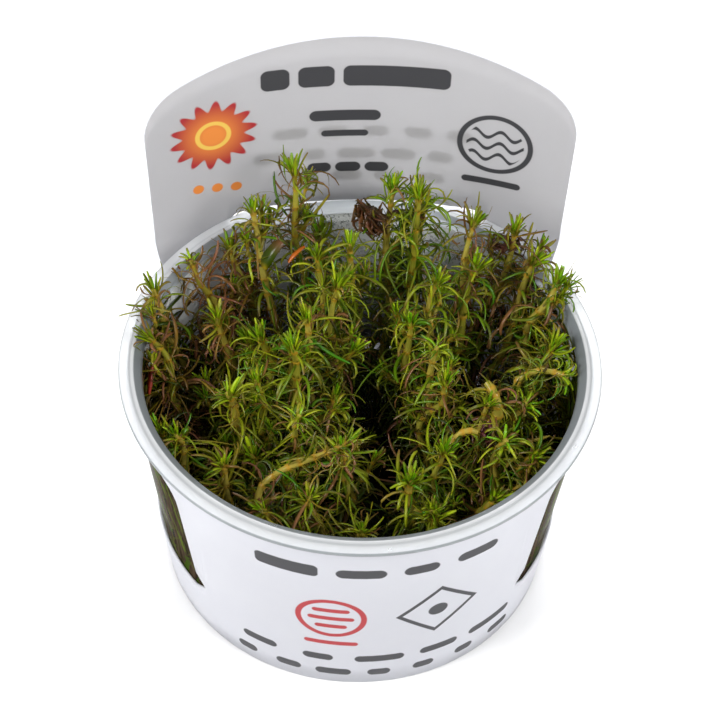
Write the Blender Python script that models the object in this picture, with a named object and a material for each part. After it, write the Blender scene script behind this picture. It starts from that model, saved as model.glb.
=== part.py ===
"""Rotala in its tissue-culture cup: a clear cup with a flange, a white sheet sleeve that
stands up behind it as a sign, a disc of growing gel and a clump of whorled shoots.

Metres, +Z up.  The origin is the middle of the cup's base and -Y is the front.
"""
import math

import bmesh
import bpy
import numpy as np
from mathutils import Vector

MM = 0.001

# Cup, in millimetres
CUP_HEIGHT = 57.0
BASE_RADIUS = 41.5
WALL_SLOPE = 0.112
WALL = 1.2
FLOOR = 1.2
FLANGE_RADIUS = 50.0
FLANGE_THICKNESS = 1.2
FLANGE_STEP_RADIUS = 47.9
CUP_SIDES = 56

# Sleeve and sign, in millimetres and degrees; angles run from the sign's middle
FIT_GAP = 0.3
SHEET = 0.4
SLEEVE_TURN = 3.2
SLEEVE_BOTTOM = 0.5
SLEEVE_TOP = 55.4
SIGN_HALF_WIDTH = 44.2
SIGN_TOP = CUP_HEIGHT + 47.0
SIGN_TOP_RADIUS = 90.0
SIGN_CORNER_RADIUS = 13.0
SIGN_STAND = 46.6
SIGN_BEND_RADIUS = 100.0
SIGN_SHIFT = 0.6
SIGN_WIDENING = 0.0007
FLARE_START = 42.0
FLARE_END = 56.0
FLARE_FADE = 12.0
NOTCH_DEPTH = 8.0
NOTCH_REACH = 12.0
NOTCH_BAND = 2.5
SHEET_ROWS = (30.0, 42.0)
SIGN_ROW = 46.0
SLOT_HALF_WIDTH = 28.3
SLOT_BOTTOM = 50.4
SLOT_TOP = CUP_HEIGHT + 0.4
WINDOW_FRONT = 127.2
WINDOW_BACK = 84.0
WINDOW_TIP = 132.0
WINDOW_BOTTOM = 15.0
WINDOW_TIP_HEIGHT = 17.5
WINDOW_TOP = 50.8
WINDOW_CORNER = 6.0

# Growing gel, in millimetres
GEL_TOP = 14.0
GEL_SIDES = 40

# Shoots, in millimetres
STEM_RADIUS = 1.1
JOINT_RADIUS = 1.3
JOINT_HEIGHT = 1.0
STEM_SIDES = 5
CLUMP_SPREAD = 0.35
CLUMP_CURVE = 1.6
STEM_CLEARANCE = 3.3
WHORL_SPACING = 9.0
LEAF_CLEARANCE = 0.35
SEED = 7

# Tips of the shoots that show one by one, as X, Y and Z in whole millimetres
BACK_TIPS = ((-16, 38, 79), (-25, 33, 72), (-30, 30, 63), (6, 36, 77), (12, 33, 78),
             (24, 31, 72), (33, 31, 70), (-3, 27, 68))
LEFT_TIPS = ((-38, 22, 66), (-45, 14, 65), (-46, 3, 62), (-31, 10, 61), (-38, -17, 54))
RIGHT_TIPS = ((38, 26, 66), (42, 19, 67), (42, 6, 60), (36, -6, 55), (38, -19, 53))
MIDDLE_TIPS = ((-5, 17, 66), (-10, 24, 67), (-12, 8, 65), (-15, 0, 64), (-22, 5, 61),
               (17, 18, 66), (25, 24, 65), (16, 4, 61), (10, 11, 61), (-22, -4, 58))
FRONT_TIPS = ((-28, -9, 58), (-28, -24, 54), (-12, -14, 58), (-4, -20, 55), (-9, -30, 52),
              (19, -4, 59), (27, -9, 58), (31, -16, 55), (18, -18, 54), (11, -25, 52),
              (17, -31, 49), (-20, -33, 50), (1, -36, 48), (29, -28, 50))
FILL_COUNT = 8
FILL_RADIUS = 35.0
FILL_HEIGHT = 48.0
FILL_TILT = 0.22
FILL_GAP = 4.9

# Open middle of the clump: a square shaft with no leaves in it, in millimetres
SHAFT_X = (-1.5, 7.5)
SHAFT_Y = (-11.0, -2.0)
SHAFT_ROOM = 9.0


def outer_radius(z):
    """Outside of the cup's wall at height z."""
    return BASE_RADIUS + WALL_SLOPE * z


def inner_radius(z):
    """Inside of the cup's wall at height z."""
    return outer_radius(z) - WALL


def material(name, colour, roughness, transmission=0.0):
    mat = bpy.data.materials.new(name)
    mat.use_nodes = True
    shader = mat.node_tree.nodes["Principled BSDF"]
    shader.inputs["Base Color"].default_value = (*colour, 1.0)
    shader.inputs["Roughness"].default_value = roughness
    shader.inputs["Metallic"].default_value = 0.0
    shader.inputs["Transmission Weight"].default_value = transmission
    mat.diffuse_color = (*colour, 1.0)
    return mat


def add_object(name, bm, mat, smooth_angle=40.0):
    """Make a node from a bmesh in millimetres, its faces pointing out."""
    bmesh.ops.recalc_face_normals(bm, faces=bm.faces)
    bmesh.ops.scale(bm, vec=(MM, MM, MM), verts=bm.verts)
    mesh = bpy.data.meshes.new(name)
    bm.to_mesh(mesh)
    bm.free()
    mesh.materials.append(mat)
    mesh.shade_smooth()
    mesh.set_sharp_from_angle(angle=math.radians(smooth_angle))
    obj = bpy.data.objects.new(name, mesh)
    bpy.context.scene.collection.objects.link(obj)
    return obj


def turned(profile, sides):
    """Turn a profile of (radius, height) points, from axis to axis, about Z."""
    bm = bmesh.new()
    rings = []
    for radius, height in profile:
        if radius == 0.0:
            rings.append([bm.verts.new((0.0, 0.0, height))])
            continue
        ring = []
        for i in range(sides):
            angle = 2.0 * math.pi * i / sides
            ring.append(bm.verts.new((radius * math.cos(angle), radius * math.sin(angle), height)))
        rings.append(ring)
    for low, high in zip(rings, rings[1:]):
        for i in range(sides):
            j = (i + 1) % sides
            corners = [low[i % len(low)], low[j % len(low)], high[j % len(high)], high[i % len(high)]]
            bm.faces.new(list(dict.fromkeys(corners)))
    return bm


# Cup
def cup_profile():
    """Base, wall, flange with a stepped top, mouth edge, inside wall and floor."""
    under = CUP_HEIGHT - FLANGE_THICKNESS
    return ((0.0, 0.0), (BASE_RADIUS - 0.9, 0.0), (outer_radius(0.9), 0.9),
            (outer_radius(under), under), (FLANGE_RADIUS, under), (FLANGE_RADIUS, CUP_HEIGHT - 0.15),
            (FLANGE_STEP_RADIUS, CUP_HEIGHT - 0.15), (FLANGE_STEP_RADIUS - 0.3, CUP_HEIGHT),
            (inner_radius(CUP_HEIGHT) + 0.3, CUP_HEIGHT), (inner_radius(CUP_HEIGHT - 0.5), CUP_HEIGHT - 0.5),
            (inner_radius(FLOOR), FLOOR), (0.0, FLOOR))


def make_cup(mat):
    return add_object("cup", turned(cup_profile(), CUP_SIDES), mat)


# Growing gel
def make_gel(mat):
    low = FLOOR + FIT_GAP
    profile = ((0.0, low), (inner_radius(low) - FIT_GAP, low), (inner_radius(GEL_TOP) - FIT_GAP, GEL_TOP),
               (0.0, GEL_TOP))
    return add_object("gel", turned(profile, GEL_SIDES), mat)


# Sleeve with its sign
def smoothstep(low, high, value):
    t = min(1.0, max(0.0, (value - low) / (high - low)))
    return t * t * (3.0 - 2.0 * t)


def sheet_point(angle, z):
    """Inner face of the sheet, angle in degrees from the sign's middle, before the turn."""
    turn = math.radians(angle)
    radius = outer_radius(min(z, SLEEVE_TOP)) + FIT_GAP
    wall = Vector((radius * math.sin(turn), radius * math.cos(turn), z))
    along = SIGN_STAND * turn
    edge = SIGN_BEND_RADIUS * math.asin(SIGN_HALF_WIDTH / SIGN_BEND_RADIUS)
    held = max(-edge, min(edge, along))
    bend = held / SIGN_BEND_RADIUS
    wider = 1.0 + SIGN_WIDENING * max(0.0, z - SLOT_TOP)
    flat = Vector((SIGN_BEND_RADIUS * math.sin(bend) * wider + SIGN_SHIFT,
                   SIGN_STAND - SIGN_BEND_RADIUS * (1.0 - math.cos(bend)), z))
    if abs(along) <= edge:
        point = wall.lerp(flat, smoothstep(FLARE_START, FLARE_END, z))
        inside_wall = z < SLEEVE_TOP and math.hypot(point.x, point.y) < radius
        return wall if inside_wall else point
    side = math.copysign(edge / SIGN_STAND, along)
    anchor = Vector((radius * math.sin(side), radius * math.cos(side), z))
    fade = 1.0 - smoothstep(0.0, FLARE_FADE, abs(along) - edge)
    return wall + (flat - anchor) * smoothstep(FLARE_START, FLARE_END, z) * fade


def sign_edge_angle():
    return math.degrees(SIGN_BEND_RADIUS * math.asin(SIGN_HALF_WIDTH / SIGN_BEND_RADIUS) / SIGN_STAND)


def side_top(angle):
    """Height of the sheet's upper edge beside the sign, where it dips under the flange."""
    beyond = math.radians(abs(angle) - sign_edge_angle()) * SIGN_STAND
    return SLEEVE_TOP - NOTCH_DEPTH * (1.0 - smoothstep(0.0, NOTCH_REACH, beyond))


def sign_top(angle):
    """Height of the sign's outline: one wide arc with a rounded shoulder at each side."""
    x = abs(SIGN_BEND_RADIUS * math.sin(math.radians(angle) * SIGN_STAND / SIGN_BEND_RADIUS))
    x = min(x, SIGN_HALF_WIDTH)
    corner_x = SIGN_HALF_WIDTH - SIGN_CORNER_RADIUS
    reach = SIGN_TOP_RADIUS - SIGN_CORNER_RADIUS
    rise = math.sqrt(reach ** 2 - corner_x ** 2)
    meet_x = corner_x * SIGN_TOP_RADIUS / reach
    centre_z = SIGN_TOP - SIGN_TOP_RADIUS
    if x <= meet_x:
        return centre_z + math.sqrt(SIGN_TOP_RADIUS ** 2 - x ** 2)
    return centre_z + rise + math.sqrt(max(0.0, SIGN_CORNER_RADIUS ** 2 - (x - corner_x) ** 2))


def slot_angle(x):
    """Angle of the sheet at sideways distance x on the sign."""
    return math.degrees(SIGN_BEND_RADIUS * math.asin(x / SIGN_BEND_RADIUS) / SIGN_STAND)


def slot_opening(angle):
    """Lower and upper edge of the slot for the flange, its ends rounded off."""
    middle = (SLOT_BOTTOM + SLOT_TOP) / 2.0
    half = (SLOT_TOP - SLOT_BOTTOM) / 2.0
    x = SIGN_BEND_RADIUS * math.sin(math.radians(abs(angle)) * SIGN_STAND / SIGN_BEND_RADIUS)
    into_end = max(0.0, x - (SLOT_HALF_WIDTH - half))
    half = math.sqrt(max(0.35 * half, half) ** 2 - min(into_end, 0.93 * half) ** 2)
    return middle - half, middle + half


def window_opening(angle):
    """Lower and upper edge of a side window: round upper corners and a drawn-out front tip."""
    degree_mm = math.radians(1.0) * outer_radius(CUP_HEIGHT / 2.0)
    angle = abs(angle)
    if angle > WINDOW_FRONT:
        share = (angle - WINDOW_FRONT) / (WINDOW_TIP - WINDOW_FRONT)
        upper = 23.5 + (WINDOW_TIP_HEIGHT + 0.5 - 23.5) * share
        lower = WINDOW_BOTTOM + (WINDOW_TIP_HEIGHT - 0.1 - WINDOW_BOTTOM) * share
        return lower, upper
    from_side = min(WINDOW_FRONT - angle, angle - WINDOW_BACK) * degree_mm
    into_corner = max(0.0, WINDOW_CORNER - from_side)
    drop = WINDOW_CORNER - math.sqrt(max(0.0, WINDOW_CORNER ** 2 - into_corner ** 2))
    return WINDOW_BOTTOM, WINDOW_TOP - drop


def sleeve_stations():
    """Angles of the sheet's columns on one side, from the sign's middle to the front seam."""
    edge = sign_edge_angle()
    end = slot_angle(SLOT_HALF_WIDTH)
    half = (SLOT_TOP - SLOT_BOTTOM) / 2.0
    shoulders = [slot_angle(SIGN_HALF_WIDTH - SIGN_CORNER_RADIUS * (1.0 - s)) for s in (0.5, 0.8, 0.95)]
    sign = [0.0, 8.0, 16.0, 24.0, slot_angle(SLOT_HALF_WIDTH - half), slot_angle(SLOT_HALF_WIDTH - 0.3 * half), end]
    window = [WINDOW_BACK, WINDOW_BACK + 2.2, WINDOW_BACK + 7.0, 99.0, 107.0, 114.0, WINDOW_FRONT - 7.0,
              WINDOW_FRONT - 2.2, WINDOW_FRONT, WINDOW_TIP]
    front = [138.0, 145.0, 152.0, 159.0, 166.0, 173.0]
    return sign + shoulders + [edge, 60.5, 65.0, 72.0] + window + front


def column_heights(angle):
    """Heights of the corners in the sheet's column at this angle, from the lower edge up."""
    size = abs(angle)
    eps = 1e-6
    if WINDOW_BACK - eps <= size <= WINDOW_TIP + eps:
        low, high = window_opening(angle)
        return [SLEEVE_BOTTOM, low, high, (high + SLEEVE_TOP) / 2.0, SLEEVE_TOP]
    if size <= slot_angle(SLOT_HALF_WIDTH) + eps:
        low, high = slot_opening(angle)
        return [SLEEVE_BOTTOM, *SHEET_ROWS, SIGN_ROW, low, high, sign_top(angle)]
    top = side_top(angle)
    if size < sign_edge_angle() - eps:
        return [SLEEVE_BOTTOM, *SHEET_ROWS, SIGN_ROW, SLOT_BOTTOM, SLOT_TOP, sign_top(angle)]
    if size <= sign_edge_angle() + eps:
        return [SLEEVE_BOTTOM, *SHEET_ROWS, top - NOTCH_BAND, top, SLOT_TOP, sign_top(angle)]
    return [SLEEVE_BOTTOM, *SHEET_ROWS, min(SLOT_BOTTOM, top - NOTCH_BAND), top]


def make_sleeve(mat):
    """One closed sheet with a slot, two windows and a sign, thickened by Solidify."""
    half = sleeve_stations()
    angles = [-a for a in reversed(half) if a > 0.0] + half + [180.0]
    slot_end = slot_angle(SLOT_HALF_WIDTH)
    eps = 1e-6
    turn = math.radians(SLEEVE_TURN)
    bm = bmesh.new()

    def place(angle, z):
        p = sheet_point(angle, z)
        return bm.verts.new((p.x * math.cos(turn) - p.y * math.sin(turn),
                             p.x * math.sin(turn) + p.y * math.cos(turn), p.z))

    columns = [[place(angle, z) for z in column_heights(angle)] for angle in angles]
    count = len(angles)
    for i in range(count):
        j = (i + 1) % count
        left, right = columns[i], columns[j]
        sizes = (abs(angles[i]), abs(angles[j]))
        rows = min(len(left), len(right)) - 1
        for row in range(rows):
            in_window = WINDOW_BACK - eps <= min(sizes) and max(sizes) <= WINDOW_TIP + eps
            if row == 1 and in_window:
                continue
            if row == 4 and max(sizes) <= slot_end + eps:
                continue
            bm.faces.new((left[row], right[row], right[row + 1], left[row + 1]))
    bmesh.ops.recalc_face_normals(bm, faces=bm.faces)
    front = min(bm.faces, key=lambda f: f.calc_center_median().y)
    front.normal_update()
    if front.normal.y > 0.0:
        bmesh.ops.reverse_faces(bm, faces=bm.faces)
    bmesh.ops.scale(bm, vec=(MM, MM, MM), verts=bm.verts)
    mesh = bpy.data.meshes.new("sleeve")
    bm.to_mesh(mesh)
    bm.free()
    mesh.materials.append(mat)
    mesh.shade_smooth()
    mesh.set_sharp_from_angle(angle=math.radians(40.0))
    obj = bpy.data.objects.new("sleeve", mesh)
    bpy.context.scene.collection.objects.link(obj)
    thick = obj.modifiers.new("Sheet thickness", "SOLIDIFY")
    thick.thickness = SHEET * MM
    thick.offset = 1.0
    return obj


# Shoots
def spread(z):
    """How far the clump has opened at height z, as a factor on the base positions."""
    rise = max(0.0, z - GEL_TOP) / 50.0
    return 1.0 + CLUMP_SPREAD * rise ** CLUMP_CURVE


def shoot_tips():
    """All tips: those that show one by one, then short ones that fill the clump."""
    tips = [np.array(t, float) for t in BACK_TIPS + LEFT_TIPS + RIGHT_TIPS + MIDDLE_TIPS + FRONT_TIPS]
    bases = [t[:2] / spread(t[2]) for t in tips]
    random = np.random.default_rng(SEED)
    wanted = len(tips) + FILL_COUNT
    while len(tips) < wanted:
        spot = random.uniform(-FILL_RADIUS, FILL_RADIUS, 2)
        gaps = [np.linalg.norm(spot - b) for b in bases]
        to_shaft = math.hypot(spot[0] - sum(SHAFT_X) / 2.0, spot[1] - sum(SHAFT_Y) / 2.0)
        if np.linalg.norm(spot) < FILL_RADIUS and min(gaps) > FILL_GAP and to_shaft > SHAFT_ROOM:
            height = FILL_HEIGHT + FILL_TILT * spot[1] + random.uniform(-4.0, 4.0)
            tips.append(np.array((*(spot * spread(height)), height)))
            bases.append(spot)
    return tips, bases


def shoot_plans():
    """Path, whorls and bud of every shoot, all in millimetres."""
    tips, bases = shoot_tips()
    random = np.random.default_rng(SEED + 1)
    plans = []
    for index, (tip, base) in enumerate(zip(tips, bases)):
        room = min(np.linalg.norm(base - other) for k, other in enumerate(bases) if k != index)
        sway = max(0.0, min(1.6, (room - STEM_CLEARANCE) / 2.0))
        heading = random.uniform(0.0, 2.0 * math.pi)
        sway_vector = sway * np.array((math.cos(heading), math.sin(heading)))
        plans.append({"tip": tip, "base": base, "sway": sway_vector,
                      "phase": random.uniform(0.0, 2.0 * math.pi),
                      "bud": random.uniform(1.5, 2.3), "leaf": random.uniform(7.5, 10.0)})
    return plans


def stem_point(plan, z):
    """Middle of a shoot's stem at height z."""
    start = GEL_TOP + FIT_GAP
    share = (z - start) / (plan["tip"][2] - start)
    xy = plan["base"] * spread(z) + plan["sway"] * math.sin(math.pi * share)
    return np.array((xy[0], xy[1], z))


def stem_heights(plan):
    """Heights of the whorls, from the top down."""
    top = plan["tip"][2] - 7.0
    heights = []
    while top > GEL_TOP + 9.0 and len(heights) < 4:
        heights.append(top)
        top -= WHORL_SPACING if len(heights) > 1 else 0.75 * WHORL_SPACING
    return heights[::-1]


def segment_gap(a0, a1, b0, b1):
    """Shortest distance from segment a to each of the segments b."""
    best = np.full(len(b0), np.inf)
    for s in np.linspace(0.0, 1.0, 7):
        point = a0 + (a1 - a0) * s
        along = b1 - b0
        length = np.maximum((along * along).sum(1), 1e-9)
        t = np.clip(((point - b0) * along).sum(1) / length, 0.0, 1.0)
        best = np.minimum(best, np.linalg.norm(b0 + along * t[:, None] - point, axis=1))
    return best


class Space:
    """What the clump has taken up so far, as tapered segments with an owner each."""

    def __init__(self):
        self.start = []
        self.end = []
        self.radius = []
        self.owner = []

    def add(self, start, end, radius, owner):
        self.start.append(start)
        self.end.append(end)
        self.radius.append(radius)
        self.owner.append(owner)

    def is_clear(self, start, end, radius, owner):
        others = np.array(self.owner) != owner
        gaps = segment_gap(start, end, np.array(self.start)[others], np.array(self.end)[others])
        return bool((gaps > np.array(self.radius)[others] + radius + LEAF_CLEARANCE).all())


def inside_pot(point, radius):
    """True where a leaf clears the wall, the flange, the gel, the open shaft and the sign."""
    reach = math.hypot(point[0], point[1])
    if point[2] - radius < GEL_TOP + 0.6:
        return False
    room = radius + 0.2
    if SHAFT_X[0] - room < point[0] < SHAFT_X[1] + room and SHAFT_Y[0] - room < point[1] < SHAFT_Y[1] + room:
        return False
    if point[2] < CUP_HEIGHT + 0.4 + radius and reach > inner_radius(point[2]) - 0.5 - radius:
        return False
    return point[1] < SIGN_STAND - 5.0 - 0.0052 * point[0] ** 2 - radius


def leaf_tip(root, out, up, length, pitch):
    return root + length * (math.cos(pitch) * out + math.sin(pitch) * up)


def find_leaf(space, owner, root, out, up, length):
    """Longest leaf of a few tries that clears everything, or None."""
    side = np.cross(up, out)
    for share in (1.0, 0.8, 0.62, 0.45):
        for pitch in (0.55, 0.25, 0.85, 0.0, 1.05):
            for swing in (0.0, 0.3, -0.3):
                heading = math.cos(swing) * out + math.sin(swing) * side
                tip = leaf_tip(root, heading, up, share * length, pitch)
                middle = (root + tip) / 2.0
                start = root + 0.18 * (tip - root)
                if not all(inside_pot(root + (tip - root) * s, 0.55 - 0.35 * s) for s in (0.5, 0.75, 1.0)):
                    continue
                if space.is_clear(start, middle, 0.55, owner) and space.is_clear(middle, tip, 0.3, owner):
                    space.add(root, middle, 0.55, owner)
                    space.add(middle, tip, 0.3, owner)
                    return tip
    return None


def ring(bm, centre, axis, phase, radius):
    """Corners of the stem's section, square to its axis."""
    axis = axis / np.linalg.norm(axis)
    first = np.cross(axis, (math.sin(phase), -math.cos(phase), 0.0))
    first /= np.linalg.norm(first)
    second = np.cross(axis, first)
    corners = []
    for i in range(STEM_SIDES):
        angle = 2.0 * math.pi * i / STEM_SIDES
        corners.append(bm.verts.new(centre + radius * (math.cos(angle) * first + math.sin(angle) * second)))
    return corners


def stem_levels(plan):
    """Height and radius of each ring, with True where a whorl starts at that ring."""
    levels = [(GEL_TOP + FIT_GAP, STEM_RADIUS, False)]
    for z in stem_heights(plan):
        levels.append((z - JOINT_HEIGHT / 2.0, JOINT_RADIUS, True))
        levels.append((z + JOINT_HEIGHT / 2.0, JOINT_RADIUS, False))
    top = plan["tip"][2]
    levels.append((top - 4.0, plan["bud"], False))
    return levels


def make_shoot(index, plan, space, mat):
    """One shoot grown as one piece: stem with joints, whorls of leaves and a bud."""
    bm = bmesh.new()
    levels = stem_levels(plan)
    rings = []
    for z, radius, _ in levels:
        centre = stem_point(plan, z)
        axis = stem_point(plan, z + 0.5) - stem_point(plan, z - 0.5)
        rings.append(ring(bm, centre, axis, plan["phase"], radius))
    bm.faces.new(rings[0][::-1])
    for level, (low, high) in enumerate(zip(rings, rings[1:])):
        whorl = levels[level][2]
        z = levels[level][0]
        centre = stem_point(plan, z + JOINT_HEIGHT / 2.0)
        up = stem_point(plan, z + 1.0) - stem_point(plan, z)
        up /= np.linalg.norm(up)
        for i in range(STEM_SIDES):
            j = (i + 1) % STEM_SIDES
            corners = (low[i], low[j], high[j], high[i])
            tip = None
            if whorl:
                root = np.mean([np.array(v.co) for v in corners], axis=0)
                out = root - centre
                out -= up * float(out @ up)
                out /= np.linalg.norm(out)
                tip = find_leaf(space, index, root, out, up, plan["leaf"])
            if tip is None:
                bm.faces.new(corners)
                continue
            apex = bm.verts.new(tip)
            for a, b in zip(corners, corners[1:] + corners[:1]):
                bm.faces.new((a, b, apex))
    apex = bm.verts.new(stem_point(plan, plan["tip"][2]))
    for i in range(STEM_SIDES):
        bm.faces.new((rings[-1][i], rings[-1][(i + 1) % STEM_SIDES], apex))
    return add_object("shoot_%02d" % (index + 1), bm, mat, 50.0)


def make_shoots(mat):
    plans = shoot_plans()
    space = Space()
    for index, plan in enumerate(plans):
        heights = [level[0] for level in stem_levels(plan)] + [plan["tip"][2]]
        for low, high in zip(heights, heights[1:]):
            radius = plan["bud"] if high > plan["tip"][2] - 5.0 else JOINT_RADIUS
            space.add(stem_point(plan, low), stem_point(plan, high), radius, index)
    for index, plan in enumerate(plans):
        make_shoot(index, plan, space, mat)


for old in list(bpy.data.objects):
    bpy.data.objects.remove(old, do_unlink=True)

make_cup(material("Clear plastic", (0.86, 0.90, 0.92), 0.08, 0.9))
make_sleeve(material("White sheet", (0.86, 0.87, 0.90), 0.45))
make_gel(material("Grey gel", (0.36, 0.38, 0.34), 0.25))
make_shoots(material("Green shoots", (0.28, 0.36, 0.06), 0.5))
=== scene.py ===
import math

import bmesh
import bpy
import numpy as np
from mathutils import Matrix, Vector


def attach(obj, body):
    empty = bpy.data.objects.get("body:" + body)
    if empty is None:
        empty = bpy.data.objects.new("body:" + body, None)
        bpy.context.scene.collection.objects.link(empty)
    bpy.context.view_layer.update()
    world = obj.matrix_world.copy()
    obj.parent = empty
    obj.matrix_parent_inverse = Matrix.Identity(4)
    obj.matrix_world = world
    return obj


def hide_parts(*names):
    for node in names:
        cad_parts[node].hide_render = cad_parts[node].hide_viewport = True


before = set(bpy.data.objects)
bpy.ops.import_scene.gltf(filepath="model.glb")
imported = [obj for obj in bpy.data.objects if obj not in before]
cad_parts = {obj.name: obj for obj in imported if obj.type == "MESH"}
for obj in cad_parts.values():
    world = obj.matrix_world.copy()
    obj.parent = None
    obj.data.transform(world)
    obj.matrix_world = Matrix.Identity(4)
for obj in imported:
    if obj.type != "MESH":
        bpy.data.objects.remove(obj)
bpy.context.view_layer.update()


# Cup
# One thin-walled pot of clear plastic, moulded in one shot, with a flat flange that a lid is
# sealed to.  Its inside is fogged by fine drops of water above the gel.
MM = 0.001
CUP_HEIGHT = 57.0
BASE_RADIUS = 41.5
WALL_SLOPE = 0.112
WALL = 1.2
FLOOR = 1.2
FLANGE_RADIUS = 50.0
FLANGE_THICKNESS = 1.2
FLANGE_STEP_RADIUS = 47.9
CUP_SIDES = 192
EDGE_RADIUS = 0.35
BASE_EDGE = 0.9
FLANGE_STEP = 0.15
LIP_DEPTH = 1.3
LIP_DROP = 0.9
LIP_FOOT = 53.6
FLANGE_FOOT = 54.6
PLASTIC_IOR = 1.49
CLEAR_COLOUR = (0.96, 0.975, 0.985, 1.0)
CLEAR_TINT = (0.62, 0.70, 0.76, 1.0)
SPECK_COLOUR = (0.22, 0.25, 0.24, 1.0)
FLANGE_COLOUR = (0.90, 0.92, 0.94, 1.0)
FLANGE_SCUFFS = (0.55, 0.59, 0.61, 1.0)
# Painted shade for the flange's step ring, outer edge and lip band.
EDGE_PAINTED_SHADE = (0.20, 0.23, 0.25, 1.0)
FOG_COLOUR = (0.86, 0.88, 0.87, 1.0)
FOG_FOOT = 16.0
FOG_FULL = 42.0
FOG_FRONT = 6.0
FILM_FOOT = 5.0
# Near-black painted shade: the film's ground between its streaks, and the fogged wall towards the
# gel.
PAINTED_SHADE_DARK = (0.014, 0.009, 0.006, 1.0)
FILM_BROWN = (0.070, 0.046, 0.030, 1.0)
FILM_OLIVE = (0.055, 0.058, 0.014, 1.0)
FILM_GREEN = (0.032, 0.060, 0.006, 1.0)
FILM_LEAF = (0.075, 0.11, 0.012, 1.0)
# Where the film starts and ends, and where it turns greener, as angles back from the X axis.
FILM_TURN = math.radians(-45.0), math.radians(14.0)
FILM_TURN_GREEN = math.radians(-32.0), math.radians(6.0)
FILM_BLADE = 800.0
FILM_LEAF_BLADE = 620.0
# Layers of drawn-out streaks in the film: how far each leans, its seed and, for leaves, colour.
FILM_ROOTS = ((0.12, 2.0), (0.6, 3.0), (-0.5, 4.0))
FILM_LEAVES = ((0.9, 5.0, FILM_GREEN), (-0.8, 6.0, FILM_LEAF),
               (0.35, 7.0, FILM_GREEN), (-0.2, 8.0, FILM_LEAF))


def operator(operation, reflected=False):
    """One of Field's operators, which adds a Math node."""
    def method(self, other):
        return self.paint.math(operation, *((other, self) if reflected else (self, other)))
    return method


class Field:
    """A shader value that adds Math nodes as it is used in expressions."""

    def __init__(self, paint, socket):
        self.paint = paint
        self.socket = socket

    def math(self, operation, *others):
        return self.paint.math(operation, self, *others)

    def __abs__(self):
        return self.math("ABSOLUTE")

    __add__ = __radd__ = operator("ADD")
    __mul__ = __rmul__ = operator("MULTIPLY")
    __sub__ = operator("SUBTRACT")
    __rsub__ = operator("SUBTRACT", reflected=True)
    __truediv__ = operator("DIVIDE")
    __lt__ = operator("LESS_THAN")
    __gt__ = operator("GREATER_THAN")

    def ramp(self, low, high):
        """0 below low, 1 above high and a straight line between, or the reverse if low > high."""
        made = self.paint.node("ShaderNodeMapRange", Value=self, From_Min=low, From_Max=high)
        return Field(self.paint, made.outputs["Result"])


class Nodes:
    """A node tree under construction."""

    def __init__(self, tree):
        self.tree = tree

    def put(self, socket, value):
        """Set a socket to a number, a colour, a Field or another node's output."""
        value = value.socket if isinstance(value, Field) else value
        if isinstance(value, bpy.types.NodeSocket):
            self.tree.links.new(value, socket)
        else:
            socket.default_value = value

    def node(self, kind, settings=(), *values, **named):
        """Any node: its type, its settings, then its sockets in order or by name."""
        made = self.tree.nodes.new(kind)
        for key, value in dict(settings).items():
            setattr(made, key, value)
        for socket, value in zip(made.inputs, values):
            self.put(socket, value)
        for key, value in named.items():
            self.put(made.inputs[key.replace("_", " ")], value)
        return made


class Paint(Nodes):
    """A material under construction: its nodes, its values and its Principled shader."""

    def __init__(self, name, **constants):
        self.material = bpy.data.materials.new(name)
        self.material.use_nodes = True
        super().__init__(self.material.node_tree)
        self.shader = self.tree.nodes["Principled BSDF"]
        self.output = self.tree.nodes["Material Output"]
        for socket, value in constants.items():
            self.feed(socket.replace("_", " "), value)

    def math(self, operation, *values):
        made = self.node("ShaderNodeMath", {"operation": operation}, *values)
        return Field(self, made.outputs[0])

    def feed(self, socket, value):
        self.put(self.shader.inputs[socket], value)

    def place(self):
        """Object coordinates, as one vector and as three values."""
        vector = self.node("ShaderNodeTexCoord").outputs["Object"]
        parts = self.node("ShaderNodeSeparateXYZ", Vector=vector).outputs
        return vector, [Field(self, part) for part in parts]

    def noise(self, vector, scale, detail=2.0, roughness=0.5):
        made = self.node("ShaderNodeTexNoise", Vector=vector, Scale=scale, Detail=detail,
                         Roughness=roughness)
        return Field(self, made.outputs["Fac"])

    def attribute(self, name):
        made = self.node("ShaderNodeAttribute", {"attribute_name": name})
        return Field(self, made.outputs["Fac"])

    def mix(self, factor, first, second):
        """Blend two colours by a value."""
        made = self.node("ShaderNodeMix", {"data_type": "RGBA"})
        for socket, value in ((0, factor), (6, first), (7, second)):
            self.put(made.inputs[socket], value)
        return made.outputs[2]

    def layers(self, colour, *marks):
        """Lay marks, each a mask and a colour, over a colour one after another."""
        for mask, shade in marks:
            colour = self.mix(mask, colour, shade)
        return colour

    def let_through(self, share, colour):
        """Let a share of the light shine through the surface, tinted."""
        glow = self.node("ShaderNodeBsdfTranslucent", Color=colour)
        blend = self.node("ShaderNodeMixShader", {}, share, self.shader.outputs[0], glow.outputs[0])
        self.put(self.output.inputs["Surface"], blend.outputs[0])

    def bump(self, height, strength, distance):
        made = self.node("ShaderNodeBump", Height=height, Strength=strength, Distance=distance)
        self.feed("Normal", made.outputs["Normal"])

    def finish(self, colour, roughness, *bump):
        """Feed the shader, with a bump's height, strength and distance, and give the material."""
        self.feed("Base Color", colour)
        self.feed("Roughness", roughness)
        if bump:
            self.bump(*bump)
        return self.material


def outer_radius(z):
    """Outside of the cup's wall at height z."""
    return BASE_RADIUS + WALL_SLOPE * z


def inner_radius(z):
    """Inside of the cup's wall at height z."""
    return outer_radius(z) - WALL


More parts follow.
